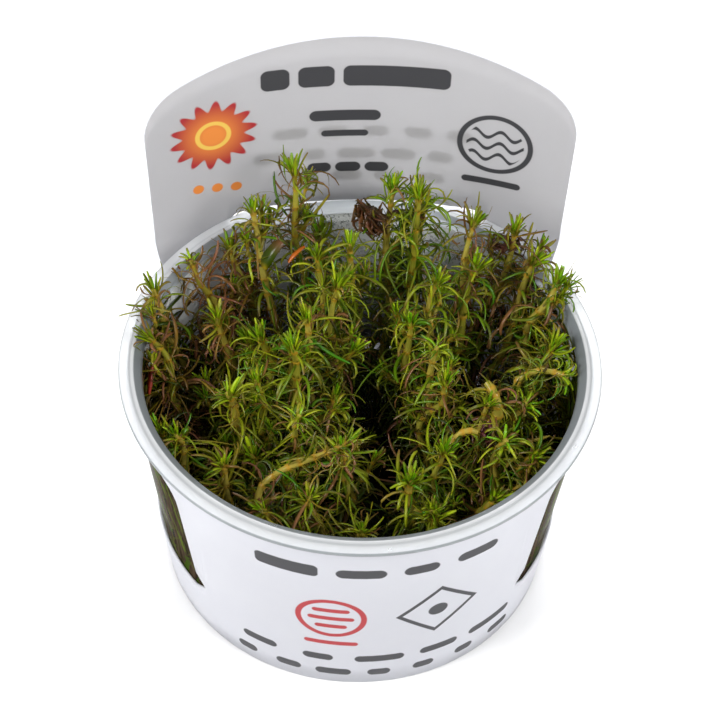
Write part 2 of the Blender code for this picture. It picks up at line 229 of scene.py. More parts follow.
def rounded(profile, radius, steps=3):
    """A profile with each inner corner swapped for a short curve."""
    points = [Vector(profile[0])]
    for before, corner, after in zip(profile, profile[1:], profile[2:]):
        before, corner, after = Vector(before), Vector(corner), Vector(after)
        reach = min(radius, 0.45 * (before - corner).length, 0.45 * (after - corner).length)
        start = corner + (before - corner).normalized() * reach
        end = corner + (after - corner).normalized() * reach
        for step in range(steps + 1):
            t = step / steps
            points.append(start * (1 - t) ** 2 + corner * 2 * t * (1 - t) + end * t ** 2)
    points.append(Vector(profile[-1]))
    return points


def turned(profile, sides):
    """A profile of (radius, height) points, from axis to axis, turned about Z."""
    bm = bmesh.new()
    rings = []
    for radius, height in profile:
        count = sides if radius > 0.0 else 1
        turns = [2.0 * math.pi * i / sides for i in range(count)]
        rings.append([bm.verts.new((radius * math.cos(a), radius * math.sin(a), height))
                      for a in turns])
    for low, high in zip(rings, rings[1:]):
        for i in range(sides):
            j = (i + 1) % sides
            corners = [low[i % len(low)], low[j % len(low)],
                       high[j % len(high)], high[i % len(high)]]
            bm.faces.new(list(dict.fromkeys(corners)))
    return bm


def placed(name, data):
    """A new object in the scene, at the origin."""
    made = bpy.data.objects.new(name, data)
    bpy.context.scene.collection.objects.link(made)
    return made


def piece_from(bm, name, material, smooth_angle=35.0):
    """A finished piece from a bmesh in millimetres: scaled, faced outwards and shaded smooth."""
    bmesh.ops.recalc_face_normals(bm, faces=bm.faces)
    bmesh.ops.scale(bm, vec=(MM, MM, MM), verts=bm.verts)
    mesh = bpy.data.meshes.new(name)
    bm.to_mesh(mesh)
    bm.free()
    mesh.materials.append(material)
    mesh.shade_smooth()
    mesh.set_sharp_from_angle(angle=math.radians(smooth_angle))
    return placed(name, mesh)


def clear_wall():
    """Clear plastic wall, washed clean by the gel and the leaves that lie on it."""
    paint = Paint("Clear wall", Base_Color=CLEAR_COLOUR, IOR=PLASTIC_IOR, Transmission_Weight=1.0,
                  Specular_IOR_Level=0.15)
    vector, _ = paint.place()
    ripples = paint.noise(vector, 60.0, 1.0)
    paint.bump(ripples, 0.1, 0.0002)
    paint.feed("Roughness", 0.03 + ripples * 0.04)
    haze = paint.node("ShaderNodeVolumeAbsorption", Color=CLEAR_TINT, Density=10.0)
    paint.put(paint.output.inputs["Volume"], haze.outputs["Volume"])
    return paint.material


def fogged_wall():
    """Inside of the wall at the back: milky with fine drops and specked, with painted shade
    darkening it towards the gel.
    """
    paint = Paint("Fogged wall", IOR=PLASTIC_IOR, Transmission_Weight=0.12)
    vector, (_, _, height) = paint.place()
    patches = paint.noise(vector, 90.0, 3.0).ramp(0.44, 0.58)
    specks = paint.noise(vector, 1400.0, 2.0, 0.7).ramp(0.53, 0.58) * patches
    # Painted shade: the wall darkens to near black from the fog's full height down to its foot by
    # the gel.
    colour = paint.mix(height.ramp(FOG_FULL * MM, FOG_FOOT * MM), FOG_COLOUR, PAINTED_SHADE_DARK)
    colour = paint.mix(specks * 0.85, colour, SPECK_COLOUR)
    drops = paint.noise(vector, 1100.0, 1.0)
    return paint.finish(colour, 0.25 + drops * 0.3, drops.ramp(0.5, 0.7), 0.4, 0.0002)


def stuck_film():
    """The wall at the side windows: streaks of the roots and leaves behind it, greener to the back,
    over a near-black ground that is painted shade.
    """
    paint = Paint("Stuck film", IOR=PLASTIC_IOR, Specular_IOR_Level=0.0, Coat_Roughness=0.08)
    _, (x, y, z) = paint.place()
    turn = paint.math("ARCTAN2", y, abs(x))
    around = turn * (outer_radius(CUP_HEIGHT / 2.0) * MM)
    side = (x > 0.0) * 7.0
    behind = turn.ramp(*FILM_TURN_GREEN)

    def blades(slant, seed, scale=FILM_BLADE):
        """Noise drawn out into narrow blades that lean one way."""
        across = around * math.cos(slant) + z * math.sin(slant)
        along = z * math.cos(slant) - around * math.sin(slant)
        spot = paint.node("ShaderNodeCombineXYZ", {}, across, along * 0.12, (side + seed) * 0.01)
        return paint.noise(spot.outputs[0], scale)

    streaks = blades(0.05, 1.0).ramp(0.35, 0.7)
    # The film's ground is painted shade; its brown, olive and green streaks are the roots and
    # leaves.
    colour = paint.mix(streaks, PAINTED_SHADE_DARK, FILM_BROWN)
    for slant, seed in FILM_ROOTS:
        colour = paint.mix(blades(slant, seed).ramp(0.60, 0.66) * 0.7, colour, FILM_OLIVE)
    for slant, seed, shade in FILM_LEAVES:
        leaves = blades(slant, seed, FILM_LEAF_BLADE) + behind * 0.09
        colour = paint.mix(leaves.ramp(0.64, 0.67), colour, shade)
    paint.feed("Coat Weight", behind * 0.8 + 0.02)
    return paint.finish(colour, 0.4 + streaks * 0.3)


def milky_flange():
    """The thick flange and lip: the same plastic, milky and satin, with painted shade darkening its
    edges and lip.
    """
    paint = Paint("Milky flange", IOR=PLASTIC_IOR, Transmission_Weight=0.55)
    vector, (x, y, _) = paint.place()
    radius = paint.math("SQRT", x * x + y * y)
    scuffs = paint.noise(vector, 240.0, 3.0)
    mouth = inner_radius(CUP_HEIGHT)
    # Painted shade: a thin dark ring at the step, a dark outer edge and a dark band on the lip.
    ring = abs(radius - FLANGE_STEP_RADIUS * MM).ramp(0.00032, 0.00018) * 0.2
    edge = radius.ramp((FLANGE_RADIUS - 0.25) * MM, (FLANGE_RADIUS - 0.05) * MM) * 0.8
    lip = radius.ramp((mouth + 0.3) * MM, (mouth + 0.1) * MM) * 0.85
    colour = paint.layers(FLANGE_COLOUR, (scuffs.ramp(0.35, 0.75) * 0.15, FLANGE_SCUFFS),
                          (ring.math("MAXIMUM", edge), EDGE_PAINTED_SHADE), (lip, EDGE_PAINTED_SHADE))
    return paint.finish(colour, 0.22 + scuffs * 0.2, scuffs, 0.15, 0.0002)


FOGGED, MILKY, FILMED = 1, 2, 3


def make_cup():
    """Turned in one piece; each face takes the material of its part of the cup."""
    under = CUP_HEIGHT - FLANGE_THICKNESS
    step = CUP_HEIGHT - FLANGE_STEP
    mouth = inner_radius(CUP_HEIGHT)
    profile = ((0.0, 0.0), (BASE_RADIUS - BASE_EDGE, 0.0), (outer_radius(BASE_EDGE), BASE_EDGE),
               (outer_radius(under), under), (FLANGE_RADIUS, under), (FLANGE_RADIUS, step),
               (FLANGE_STEP_RADIUS, step), (FLANGE_STEP_RADIUS - 0.3, CUP_HEIGHT),
               (mouth + 0.2, CUP_HEIGHT), (mouth - LIP_DEPTH, CUP_HEIGHT - LIP_DROP),
               (inner_radius(FLANGE_FOOT) - LIP_DEPTH, FLANGE_FOOT),
               (inner_radius(LIP_FOOT), LIP_FOOT), (inner_radius(FOG_FOOT), FOG_FOOT),
               (inner_radius(FLOOR), FLOOR), (0.0, FLOOR))
    piece = piece_from(turned(rounded(profile, EDGE_RADIUS), CUP_SIDES), "clear_cup", clear_wall())
    for finish in (fogged_wall(), milky_flange(), stuck_film()):
        piece.data.materials.append(finish)
    for face in piece.data.polygons:
        place = face.center / MM
        inside = math.hypot(place.x, place.y) < inner_radius(place.z) + 0.4 * WALL
        turn = math.atan2(place.y, abs(place.x))
        if place.z > FLANGE_FOOT - 0.1:
            face.material_index = MILKY
        elif inside and place.z > FOG_FOOT and place.y > FOG_FRONT:
            face.material_index = FOGGED
        elif place.z > FILM_FOOT and FILM_TURN[0] < turn < FILM_TURN[1]:
            face.material_index = FILMED
    return piece


cup = make_cup()
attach(cup, "root")
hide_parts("cup")


# Sleeve
# One die-cut sheet of white plastic, wrapped round the cup and hung on its flange by a slot at
# the back.  Above the slot it stands up as a sign.  It is printed on both faces.
FIT_GAP = 0.3
SHEET = 0.4
SLEEVE_TURN = 3.2
SLEEVE_BOTTOM = 0.5
SLEEVE_TOP = 55.4
SIGN_HALF_WIDTH = 44.2
SIGN_TOP = CUP_HEIGHT + 47.0
SIGN_TOP_RADIUS = 90.0
SIGN_CORNER_RADIUS = 13.0
SIGN_STAND = 46.6
SIGN_BEND_RADIUS = 100.0
SIGN_SHIFT = 0.6
SIGN_WIDENING = 0.0007
FLARE_START = 42.0
FLARE_END = 56.0
FLARE_FADE = 12.0
NOTCH_DEPTH = 8.0
NOTCH_REACH = 12.0
NOTCH_BAND = 2.5
SHEET_ROWS = (30.0, 42.0)
SIGN_ROW = 46.0
ROW_SPLITS = (5, 6, 3, 3, 4, 8)
WINDOW_BAND = 1
SLOT_BAND = 4
STATION_STEP = 3
STATION_GAP = 0.12
NEAR = 1e-6
SLOT_HALF_WIDTH = 28.3
SLOT_BOTTOM = 50.4
SLOT_TOP = CUP_HEIGHT + 0.4
SLOT_MIDDLE = (SLOT_BOTTOM + SLOT_TOP) / 2.0
SLOT_HALF_HEIGHT = (SLOT_TOP - SLOT_BOTTOM) / 2.0
WINDOW_FRONT = 127.2
WINDOW_BACK = 84.0
WINDOW_TIP = 132.0
WINDOW_BOTTOM = 15.0
WINDOW_TIP_HEIGHT = 17.5
WINDOW_SLANT_TOP = 23.5
WINDOW_TOP = 50.8
WINDOW_CORNER = 6.0
# Millimetres round the wall to a degree, at half its height.
WINDOW_DEGREE = math.radians(1.0) * outer_radius(CUP_HEIGHT / 2.0)
OUTSIDE_WHITE = (0.86, 0.87, 0.93, 1.0)
# The inner face is the same white plastic as the outer; its colour is darkened to grey as painted
# shade.
INSIDE_WHITE_IN_PAINTED_SHADE = (0.43, 0.42, 0.415, 1.0)
SHEET_GLOW = (0.80, 0.80, 0.82, 1.0)
SHEET_GLOW_SHARE = 0.42
PRINT_GREY = (0.045, 0.045, 0.05, 1.0)
PRINT_RED = (0.38, 0.03, 0.035, 1.0)
PRINT_ORANGE = (0.78, 0.25, 0.05, 1.0)
PRINT_YELLOW = (0.80, 0.52, 0.10, 1.0)
HALF_ROUND = math.pi * SIGN_STAND
# Bars: middle along the sheet and up it (on the sign from the flange), width, height and, where
# the ends aren't round, corner radius.
FRONT_RED_BARS = ((-7.0, 31.2, 8.0, 1.5), (-7.0, 28.0, 10.0, 1.5), (-7.0, 24.8, 7.0, 1.5),
                  (-7.0, 17.6, 12.0, 1.6))
SIGN_BARS = ((-17.5, 36.5, 6.0, 5.6, 1.6), (-9.0, 36.5, 7.5, 5.6, 1.6),
             (7.5, 36.5, 22.0, 5.6, 1.6), (-3.0, 25.5, 15.0, 3.0), (-3.0, 20.4, 10.0, 1.8))
# Lines of bars: left and right end, middle's height, bars' height, pitch, shortest share of the
# pitch and seed.
FRONT_LINES = ((-31.0, 39.0, 11.0, 2.6, 14.0, 0.45, 11.0),
               (-33.0, 41.0, 5.0, 2.6, 10.6, 0.35, 23.0))
# Lines on the sign's back, which show through it: height over the flange, left and right end.
SIGN_BACK_LINES = ((21.0, -19.0, 26.0), (14.5, -23.0, 22.0), (8.0, -16.0, 20.0))


def smoothstep(low, high, value):
    """0 below low, 1 above high, and an even curve between."""
    t = min(1.0, max(0.0, (value - low) / (high - low)))
    return t * t * (3.0 - 2.0 * t)


def sheet_point(angle, z):
    """Inner face of the sheet, angle in degrees from the sign's middle, before the turn."""
    turn = math.radians(angle)
    radius = outer_radius(min(z, SLEEVE_TOP)) + FIT_GAP
    wall = Vector((radius * math.sin(turn), radius * math.cos(turn), z))
    along = SIGN_STAND * turn
    edge = SIGN_BEND_RADIUS * math.asin(SIGN_HALF_WIDTH / SIGN_BEND_RADIUS)
    held = max(-edge, min(edge, along))
    bend = held / SIGN_BEND_RADIUS
    wider = 1.0 + SIGN_WIDENING * max(0.0, z - SLOT_TOP)
    flat = Vector((SIGN_BEND_RADIUS * math.sin(bend) * wider + SIGN_SHIFT,
                   SIGN_STAND - SIGN_BEND_RADIUS * (1.0 - math.cos(bend)), z))
    if abs(along) <= edge:
        point = wall.lerp(flat, smoothstep(FLARE_START, FLARE_END, z))
        inside_wall = z < SLEEVE_TOP and math.hypot(point.x, point.y) < radius
        return wall if inside_wall else point
    side = math.copysign(edge / SIGN_STAND, along)
    anchor = Vector((radius * math.sin(side), radius * math.cos(side), z))
    fade = 1.0 - smoothstep(0.0, FLARE_FADE, abs(along) - edge)
    return wall + (flat - anchor) * smoothstep(FLARE_START, FLARE_END, z) * fade


def sheet_angle(x):
    """Angle of the sheet at sideways distance x on the sign."""
    return math.degrees(SIGN_BEND_RADIUS * math.asin(x / SIGN_BEND_RADIUS) / SIGN_STAND)


def sheet_x(angle):
    """Sideways distance on the sign at an angle of the sheet."""
    return SIGN_BEND_RADIUS * math.sin(math.radians(abs(angle)) * SIGN_STAND / SIGN_BEND_RADIUS)


SLOT_END = sheet_angle(SLOT_HALF_WIDTH)
SIGN_EDGE = sheet_angle(SIGN_HALF_WIDTH)


def side_top(angle):
    """Height of the sheet's upper edge beside the sign, where it dips under the flange."""
    beyond = math.radians(abs(angle) - SIGN_EDGE) * SIGN_STAND
    return SLEEVE_TOP - NOTCH_DEPTH * (1.0 - smoothstep(0.0, NOTCH_REACH, beyond))


def sign_top(angle):
    """Height of the sign's outline: one wide arc with a rounded shoulder at each side."""
    x = min(sheet_x(angle), SIGN_HALF_WIDTH)
    corner_x = SIGN_HALF_WIDTH - SIGN_CORNER_RADIUS
    reach = SIGN_TOP_RADIUS - SIGN_CORNER_RADIUS
    rise = math.sqrt(reach ** 2 - corner_x ** 2)
    centre_z = SIGN_TOP - SIGN_TOP_RADIUS
    if x <= corner_x * SIGN_TOP_RADIUS / reach:
        return centre_z + math.sqrt(SIGN_TOP_RADIUS ** 2 - x ** 2)
    return centre_z + rise + math.sqrt(max(0.0, SIGN_CORNER_RADIUS ** 2 - (x - corner_x) ** 2))


def slot_opening(angle):
    """Lower and upper edge of the slot for the flange, its ends rounded off."""
    into_end = max(0.0, sheet_x(angle) - (SLOT_HALF_WIDTH - SLOT_HALF_HEIGHT))
    half = math.sqrt(SLOT_HALF_HEIGHT ** 2 - min(into_end, 0.97 * SLOT_HALF_HEIGHT) ** 2)
    return SLOT_MIDDLE - half, SLOT_MIDDLE + half


def window_opening(angle):
    """Lower and upper edge of a side window: round upper corners and a drawn-out front tip."""
    angle = abs(angle)
    if angle > WINDOW_FRONT:
        share = (angle - WINDOW_FRONT) / (WINDOW_TIP - WINDOW_FRONT)
        upper = WINDOW_SLANT_TOP + (WINDOW_TIP_HEIGHT + 0.5 - WINDOW_SLANT_TOP) * share
        lower = WINDOW_BOTTOM + (WINDOW_TIP_HEIGHT - 0.1 - WINDOW_BOTTOM) * share
        return lower, upper
    from_side = min(WINDOW_FRONT - angle, angle - WINDOW_BACK) * WINDOW_DEGREE
    into_corner = max(0.0, WINDOW_CORNER - from_side)
    drop = WINDOW_CORNER - math.sqrt(max(0.0, WINDOW_CORNER ** 2 - into_corner ** 2))
    return WINDOW_BOTTOM, WINDOW_TOP - drop


def sleeve_stations():
    """Angles of the sheet's columns on one side, close together at round corners."""
    def bent(steps, of):
        return 1.0 - math.sin(steps * math.pi / of)

    marks = [float(a) for a in range(0, 180, STATION_STEP)]
    marks += [sheet_angle(SLOT_HALF_WIDTH - SLOT_HALF_HEIGHT * bent(t, 16)) for t in range(9)]
    marks += [sheet_angle(SIGN_HALF_WIDTH - SIGN_CORNER_RADIUS * bent(t, 24)) for t in range(2, 13)]
    for t in range(7):
        bend = WINDOW_CORNER / WINDOW_DEGREE * bent(t, 12)
        marks += [WINDOW_BACK + bend, WINDOW_FRONT - bend]
    keep = [SLOT_END, SIGN_EDGE, WINDOW_BACK, WINDOW_FRONT, WINDOW_TIP, 0.0]
    chosen = []
    for mark in sorted(marks + [WINDOW_TIP, SLOT_END, SIGN_EDGE]):
        near = chosen and mark - chosen[-1] < STATION_GAP
        if near and any(abs(mark - k) < NEAR for k in keep):
            chosen[-1] = mark
        elif not near:
            chosen.append(mark)
    return chosen


def column_heights(angle):
    """Heights of the sheet's rows at one angle; windows and the slot lie between two rows."""
    size = abs(angle)
    if WINDOW_BACK - NEAR <= size <= WINDOW_TIP + NEAR:
        low, high = window_opening(angle)
        return [SLEEVE_BOTTOM, low, high, (high + SLEEVE_TOP) / 2.0, SLEEVE_TOP]
    rows = [SLEEVE_BOTTOM, *SHEET_ROWS]
    if size <= SLOT_END + NEAR:
        return rows + [SIGN_ROW, *slot_opening(angle), sign_top(angle)]
    top = side_top(angle)
    if size < SIGN_EDGE - NEAR:
        return rows + [SIGN_ROW, SLOT_BOTTOM, SLOT_TOP, sign_top(angle)]
    if size <= SIGN_EDGE + NEAR:
        return rows + [top - NOTCH_BAND, top, SLOT_TOP, sign_top(angle)]
    return rows + [min(SLOT_BOTTOM, top - NOTCH_BAND), top]


def make_sheet_mesh():
    """The sheet's inner skin with its slot and windows.  Its print's UV map is in millimetres
    along the sheet from the sign's middle, and runs on past half round on the left."""
    half = sleeve_stations()
    angles = [-a for a in reversed(half) if a > 0.0] + half + [180.0]
    turn = Matrix.Rotation(math.radians(SLEEVE_TURN), 3, "Z")
    bm = bmesh.new()
    uv = bm.loops.layers.uv.new("Print")
    columns = []
    for angle in angles:
        heights = column_heights(angle)
        fine = [[heights[0]]]
        for splits, low, high in zip(ROW_SPLITS, heights, heights[1:]):
            fine.append([low + (high - low) * (k + 1) / splits for k in range(splits)])
        columns.append([[(z, bm.verts.new(turn @ sheet_point(angle, z))) for z in part]
                        for part in fine])
    for i, angle in enumerate(angles):
        j = (i + 1) % len(angles)
        following = angles[j] if j else angles[j] + 360.0
        sizes = (abs(angle), abs(angles[j]))
        in_window = WINDOW_BACK - NEAR <= min(sizes) and max(sizes) <= WINDOW_TIP + NEAR
        in_slot = max(sizes) <= SLOT_END + NEAR
        turned_on = 360.0 if (angle + following) / 2.0 < -90.0 else 0.0
        for band in range(min(len(columns[i]), len(columns[j])) - 1):
            if (band == WINDOW_BAND and in_window) or (band == SLOT_BAND and in_slot):
                continue
            left = [columns[i][band][-1]] + columns[i][band + 1]
            right = [columns[j][band][-1]] + columns[j][band + 1]
            for row in range(len(left) - 1):
                corners = ((angle, left[row]), (following, right[row]),
                           (following, right[row + 1]), (angle, left[row + 1]))
                face = bm.faces.new([vert for _, (_, vert) in corners])
                for loop, (a, (z, _)) in zip(face.loops, corners):
                    loop[uv].uv = ((a + turned_on) * math.radians(1.0) * SIGN_STAND, z)
    return bm


class Print(Paint):
    """A sheet's material with marks printed on it, placed in millimetres."""

    def __init__(self, name, front):
        super().__init__(name, IOR=1.5, Specular_IOR_Level=0.3)
        uv = self.node("ShaderNodeUVMap", {"uv_map": "Print"}).outputs["UV"]
        parts = self.node("ShaderNodeSeparateXYZ", Vector=uv).outputs
        along, self.height = [Field(self, part) for part in parts[:2]]
        self.along = HALF_ROUND - along if front else along
        self.vector, _ = self.place()
        self.mottle = self.noise(self.vector, 140.0, 3.0)
        # The inner face takes the same white, darkened by painted shade.
        white = OUTSIDE_WHITE if front else INSIDE_WHITE_IN_PAINTED_SHADE
        duller = (white[0] * 0.93, white[1] * 0.93, white[2] * 0.95, 1.0)
        self.colour = self.mix(self.mottle.ramp(0.3, 0.7) * 0.35, white, duller)
        self.bare = 1.0

    def lay(self, mask, colour):
        """Print a colour over what is there; ink lets no light through."""
        self.colour = self.mix(mask, self.colour, colour)
        self.bare = self.bare * (1.0 - mask)

    def spot(self, distance, soft=0.12):
        """1 where a distance in millimetres is below zero, with a soft edge."""
        return distance.ramp(soft, -soft)

    def mark(self, distance, colour, soft=0.12):
        """Print all that lies within a distance's zero line."""
        self.lay(self.spot(distance, soft), colour)

    def length(self, dx, dz):
        return (dx * dx + dz * dz).math("SQRT")

    def disc(self, x, z, radius):
        """Distance to a disc's edge, negative inside."""
        return self.length(self.along - x, self.height - z) - radius

    def bar(self, colour, x, z, width, height, radius=None):
        """Print a bar with rounded corners."""
        radius = height / 2.0 if radius is None else radius
        dx = abs(self.along - x) - (width / 2.0 - radius)
        dz = abs(self.height - z) - (height / 2.0 - radius)
        away = self.length(dx.math("MAXIMUM", 0.0), dz.math("MAXIMUM", 0.0))
        self.mark(away - radius, colour)

    def line_of_bars(self, left, right, z, height, pitch, shortest, seed):
        """A run of rounded bars of uneven length, as wide as one line of print."""
        steps = (self.along - left) / pitch
        cell = steps.math("FLOOR")
        inside = steps - cell - 0.5
        random = self.node("ShaderNodeTexWhiteNoise", {"noise_dimensions": "1D"}, W=cell + seed)
        share = shortest + Field(self, random.outputs["Value"]) * (0.9 - shortest)
        dx = (abs(inside) * pitch - (share * (pitch / 2.0) - height / 2.0)).math("MAXIMUM", 0.0)
        run = self.length(dx, self.height - z) - height / 2.0
        return self.spot(run) * ((self.along > left) * (self.along < right))

    def printed(self):
        """The finished sheet: matt, finely grained, and glowing where there is no ink."""
        self.let_through(self.bare * SHEET_GLOW_SHARE, SHEET_GLOW)
        grain = self.noise(self.vector, 1400.0)
        waves = self.noise(self.vector, 35.0, 1.0)
        height = grain * 0.25 + waves
        return self.finish(self.colour, 0.56 + self.mottle * 0.08, height, 0.25, 0.0002)


def outside_print():
    """Front panel: bars, a red ring and a grey diamond.  Back of the sign: three lines of bars."""
    sheet = Print("Sheet outside", front=True)
    for row, left, right in SIGN_BACK_LINES:
        ends = (HALF_ROUND - right, HALF_ROUND - left)
        lines = sheet.line_of_bars(*ends, CUP_HEIGHT + row, 3.0, 9.0, 0.5, row)
        sheet.lay(lines * 0.65, PRINT_GREY)
    sheet.bar(PRINT_GREY, -16.0, 46.5, 13.0, 4.2, 1.2)
    sheet.lay(sheet.line_of_bars(-7.0, 29.0, 46.5, 3.2, 12.0, 0.6, 3.0), PRINT_GREY)
    sheet.mark(abs(sheet.disc(-7.0, 28.0, 7.0)) - 0.65, PRINT_RED)
    for bar in FRONT_RED_BARS:
        sheet.bar(PRINT_RED, *bar)
    tilted = abs(sheet.along - 16.0) + abs(sheet.height - 28.0)
    sheet.mark(abs(tilted - 8.6) - 0.75, PRINT_GREY)
    sheet.mark(sheet.disc(16.0, 28.0, 2.2), PRINT_GREY)
    for line in FRONT_LINES:
        sheet.lay(sheet.line_of_bars(*line), PRINT_GREY)
    return sheet.printed()


def inside_print():
    """Sign: a heading of bold bars, a warm sunburst, a ring with waves and lines of bars."""
    sheet = Print("Sheet inside", front=False)
    for x, z, *size in SIGN_BARS:
        sheet.bar(PRINT_GREY, x, CUP_HEIGHT + z, *size)
    sheet.lay(sheet.line_of_bars(-11.5, 7.0, CUP_HEIGHT + 10.5, 2.8, 6.2, 0.75, 5.0), PRINT_GREY)
    dx, dz = sheet.along + 31.0, sheet.height - (CUP_HEIGHT + 24.0)
    away = sheet.length(dx, dz)
    ray = (dz.math("ARCTAN2", dx) * 14.0).math("SINE")
    warm = sheet.mix(away.ramp(2.0, 8.5), PRINT_ORANGE, PRINT_RED)
    sheet.mark(away - 8.2 - ray * 1.3, warm, 0.3)
    sheet.mark(abs(away - 3.4) - 0.5, PRINT_YELLOW)
    for k in range(3):
        sheet.mark(sheet.disc(-35.0 + 4.2 * k, CUP_HEIGHT + 9.5 - 0.7 * k, 1.25), PRINT_ORANGE)
    middle = (29.0, CUP_HEIGHT + 20.5)
    sheet.mark(abs(sheet.disc(*middle, 7.6)) - 0.6, PRINT_GREY)
    swell = (sheet.along * 1.1).math("SINE")
    within = sheet.spot(sheet.disc(*middle, 6.2))
    for row in (-2.6, 0.6, 3.8):
        wave = abs(sheet.height - swell - (CUP_HEIGHT + 19.5 + row)) - 0.5
        sheet.lay(sheet.spot(wave) * within, PRINT_GREY)
    sheet.bar(PRINT_GREY, 29.0, CUP_HEIGHT + 9.6, 13.0, 1.8)
    return sheet.printed()


sleeve = piece_from(make_sheet_mesh(), "printed_sleeve", outside_print())
sleeve.data.materials.append(inside_print())
front_face = min(sleeve.data.polygons, key=lambda f: f.center.y)
if front_face.normal.y > 0.0:
    sleeve.data.flip_normals()
thickness = sleeve.modifiers.new("Sheet thickness", "SOLIDIFY")
thickness.thickness = SHEET * MM
thickness.offset = 1.0
thickness.material_offset = 1
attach(sleeve, "root")
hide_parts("sleeve")


# Gel
# A disc of cloudy grey growing gel, poured warm and set in the bottom of the cup.  Its top is
# wet and a little uneven.
GEL_TOP = 14.0
GEL_SIDES = 96
GEL_RINGS = (0.97, 0.85, 0.7, 0.55, 0.4, 0.25, 0.1)
GEL_WAVE = 0.3
GEL_COLOUR = (0.13, 0.14, 0.10, 1.0)
GEL_DARK = (0.012, 0.014, 0.006, 1.0)


def wet_gel():
    """Dull and dark in the middle, where leaves shade it, and cloudy grey towards the wall."""
    paint = Paint("Wet gel", IOR=1.34, Specular_IOR_Level=0.3, Coat_Weight=0.15, Coat_Roughness=0.1)
    vector, (x, y, _) = paint.place()
    clouds = paint.noise(vector, 110.0, 4.0, 0.6)
    grains = paint.noise(vector, 900.0)
    near_wall = paint.math("SQRT", x * x + y * y).ramp(0.026, 0.041)
    colour = paint.mix(clouds.ramp(0.45, 0.7) * near_wall, GEL_DARK, GEL_COLOUR)
    return paint.finish(colour, 0.12 + clouds * 0.25, clouds + grains * 0.3, 0.5, 0.0006)


def make_gel():
    """A disc a little clear of the cup, its top waved in low rings."""
    low = FLOOR + FIT_GAP
    rim = inner_radius(GEL_TOP) - FIT_GAP
    profile = [(0.0, low), (inner_radius(low) - FIT_GAP, low), (rim, GEL_TOP - 0.2)]
    profile += [(rim * r, GEL_TOP - GEL_WAVE + GEL_WAVE * math.cos(9.0 * r)) for r in GEL_RINGS]
    profile.append((0.0, GEL_TOP))
    return piece_from(turned(profile, GEL_SIDES), "growing_gel", wet_gel(), 50.0)


gel = make_gel()
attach(gel, "root")
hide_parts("gel")


# Shoots
# Young stems of a fine-leaved water plant, grown together from the gel.  Each is one living
# piece: a jointed stem, a whorl of narrow leaves at every joint and a bud at the top.
CLUMP_SPREAD = 0.35
CLUMP_CURVE = 1.6
CLUMP_RISE = 50.0
STEM_CLEARANCE = 3.3
SEED = 7
BACK_TIPS = ((-16, 38, 79), (-25, 33, 72), (-30, 30, 63), (6, 36, 77), (12, 33, 78),
             (24, 31, 72), (33, 31, 70), (-3, 27, 68))
LEFT_TIPS = ((-38, 22, 66), (-45, 14, 65), (-46, 3, 62), (-31, 10, 61), (-38, -17, 54))
RIGHT_TIPS = ((38, 26, 66), (42, 19, 67), (42, 6, 60), (36, -6, 55), (38, -19, 53))
MIDDLE_TIPS = ((-5, 17, 66), (-10, 24, 67), (-12, 8, 65), (-15, 0, 64), (-22, 5, 61),
               (17, 18, 66), (25, 24, 65), (16, 4, 61), (10, 11, 61), (-22, -4, 58))
FRONT_TIPS = ((-28, -9, 58), (-28, -24, 54), (-12, -14, 58), (-4, -20, 55), (-9, -30, 52),
              (19, -4, 59), (27, -9, 58), (31, -16, 55), (18, -18, 54), (11, -25, 52),
              (17, -31, 49), (-20, -33, 50), (1, -36, 48), (29, -28, 50))
FILL_COUNT = 8
FILL_RADIUS = 35.0
FILL_HEIGHT = 48.0
FILL_TILT = 0.22
FILL_GAP = 4.9
SHAFT_MIDDLE = (3.0, -6.5)
SHAFT_ROOM = 9.0
WHORL_SPACING = 4.3
WHORL_LEAVES = 9
SIDE_SHOOTS = 3
SIDE_SPACING = 3.1
SIDE_LEAVES = 6
LYING_SPACING = 3.0
PRESSED_LEAVES = 60
LEAF_POINTS = 8
STEM_SIDES = 10
STEM_STEPS = 70
SIDE_STEPS = 24
LYING_STEPS = 40
LEAF_CHANNEL = -0.06
LEAF_EDGE = -0.24
LEAF_KEEL = 0.22
PLAN_DRAWS = ((0.0, 2.0 * math.pi), (1.5, 2.3), (7.5, 10.0))
SIDE_LOWEST = 3.0
SIDE_UNDER_TIP = 4.5
LEANS_OUT_BEYOND = 26.0
LEAF_THICKNESS = 0.34
GEL_CLEARANCE = 0.3
WALL_CLEARANCE = 0.25
RIM_CLEARANCE = 0.6
# A leaf's point this close under the rim goes over it if it would pass the wall by this much.
RIM_ZONE = 3.0
RIM_PASSED = 1.5
SIGN_CLEARANCE = 0.8
SIGN_BOW = 0.0052
SIGN_BOW_MIDDLE = -2.6
REACH_LIMIT = 51.0
# Share of a leaf's full width at each of its points.
LEAF_SHARES = (0.5, 0.8, 1.0, 1.0, 1.0, 0.95, 0.85, 0.5)
BUD_SHARES = (0.5, 0.85, 1.0, 1.0, 1.0, 0.95, 0.85, 0.55)
DRY_SHARES = (0.5, 0.8, 1.0, 1.0, 0.95, 0.9, 0.8, 0.6)
# A leaf's age runs from -1 in a bud to 1 at a stem's foot; these mark the dried ones.
DRIED_BROWN = 2.0
DRIED_RED = 3.0
TUFT_SPREAD = 0.45


def spread(z):
    """How far the clump has opened at height z, as a factor on the base positions."""
    rise = max(0.0, z - GEL_TOP) / CLUMP_RISE
    return 1.0 + CLUMP_SPREAD * rise ** CLUMP_CURVE


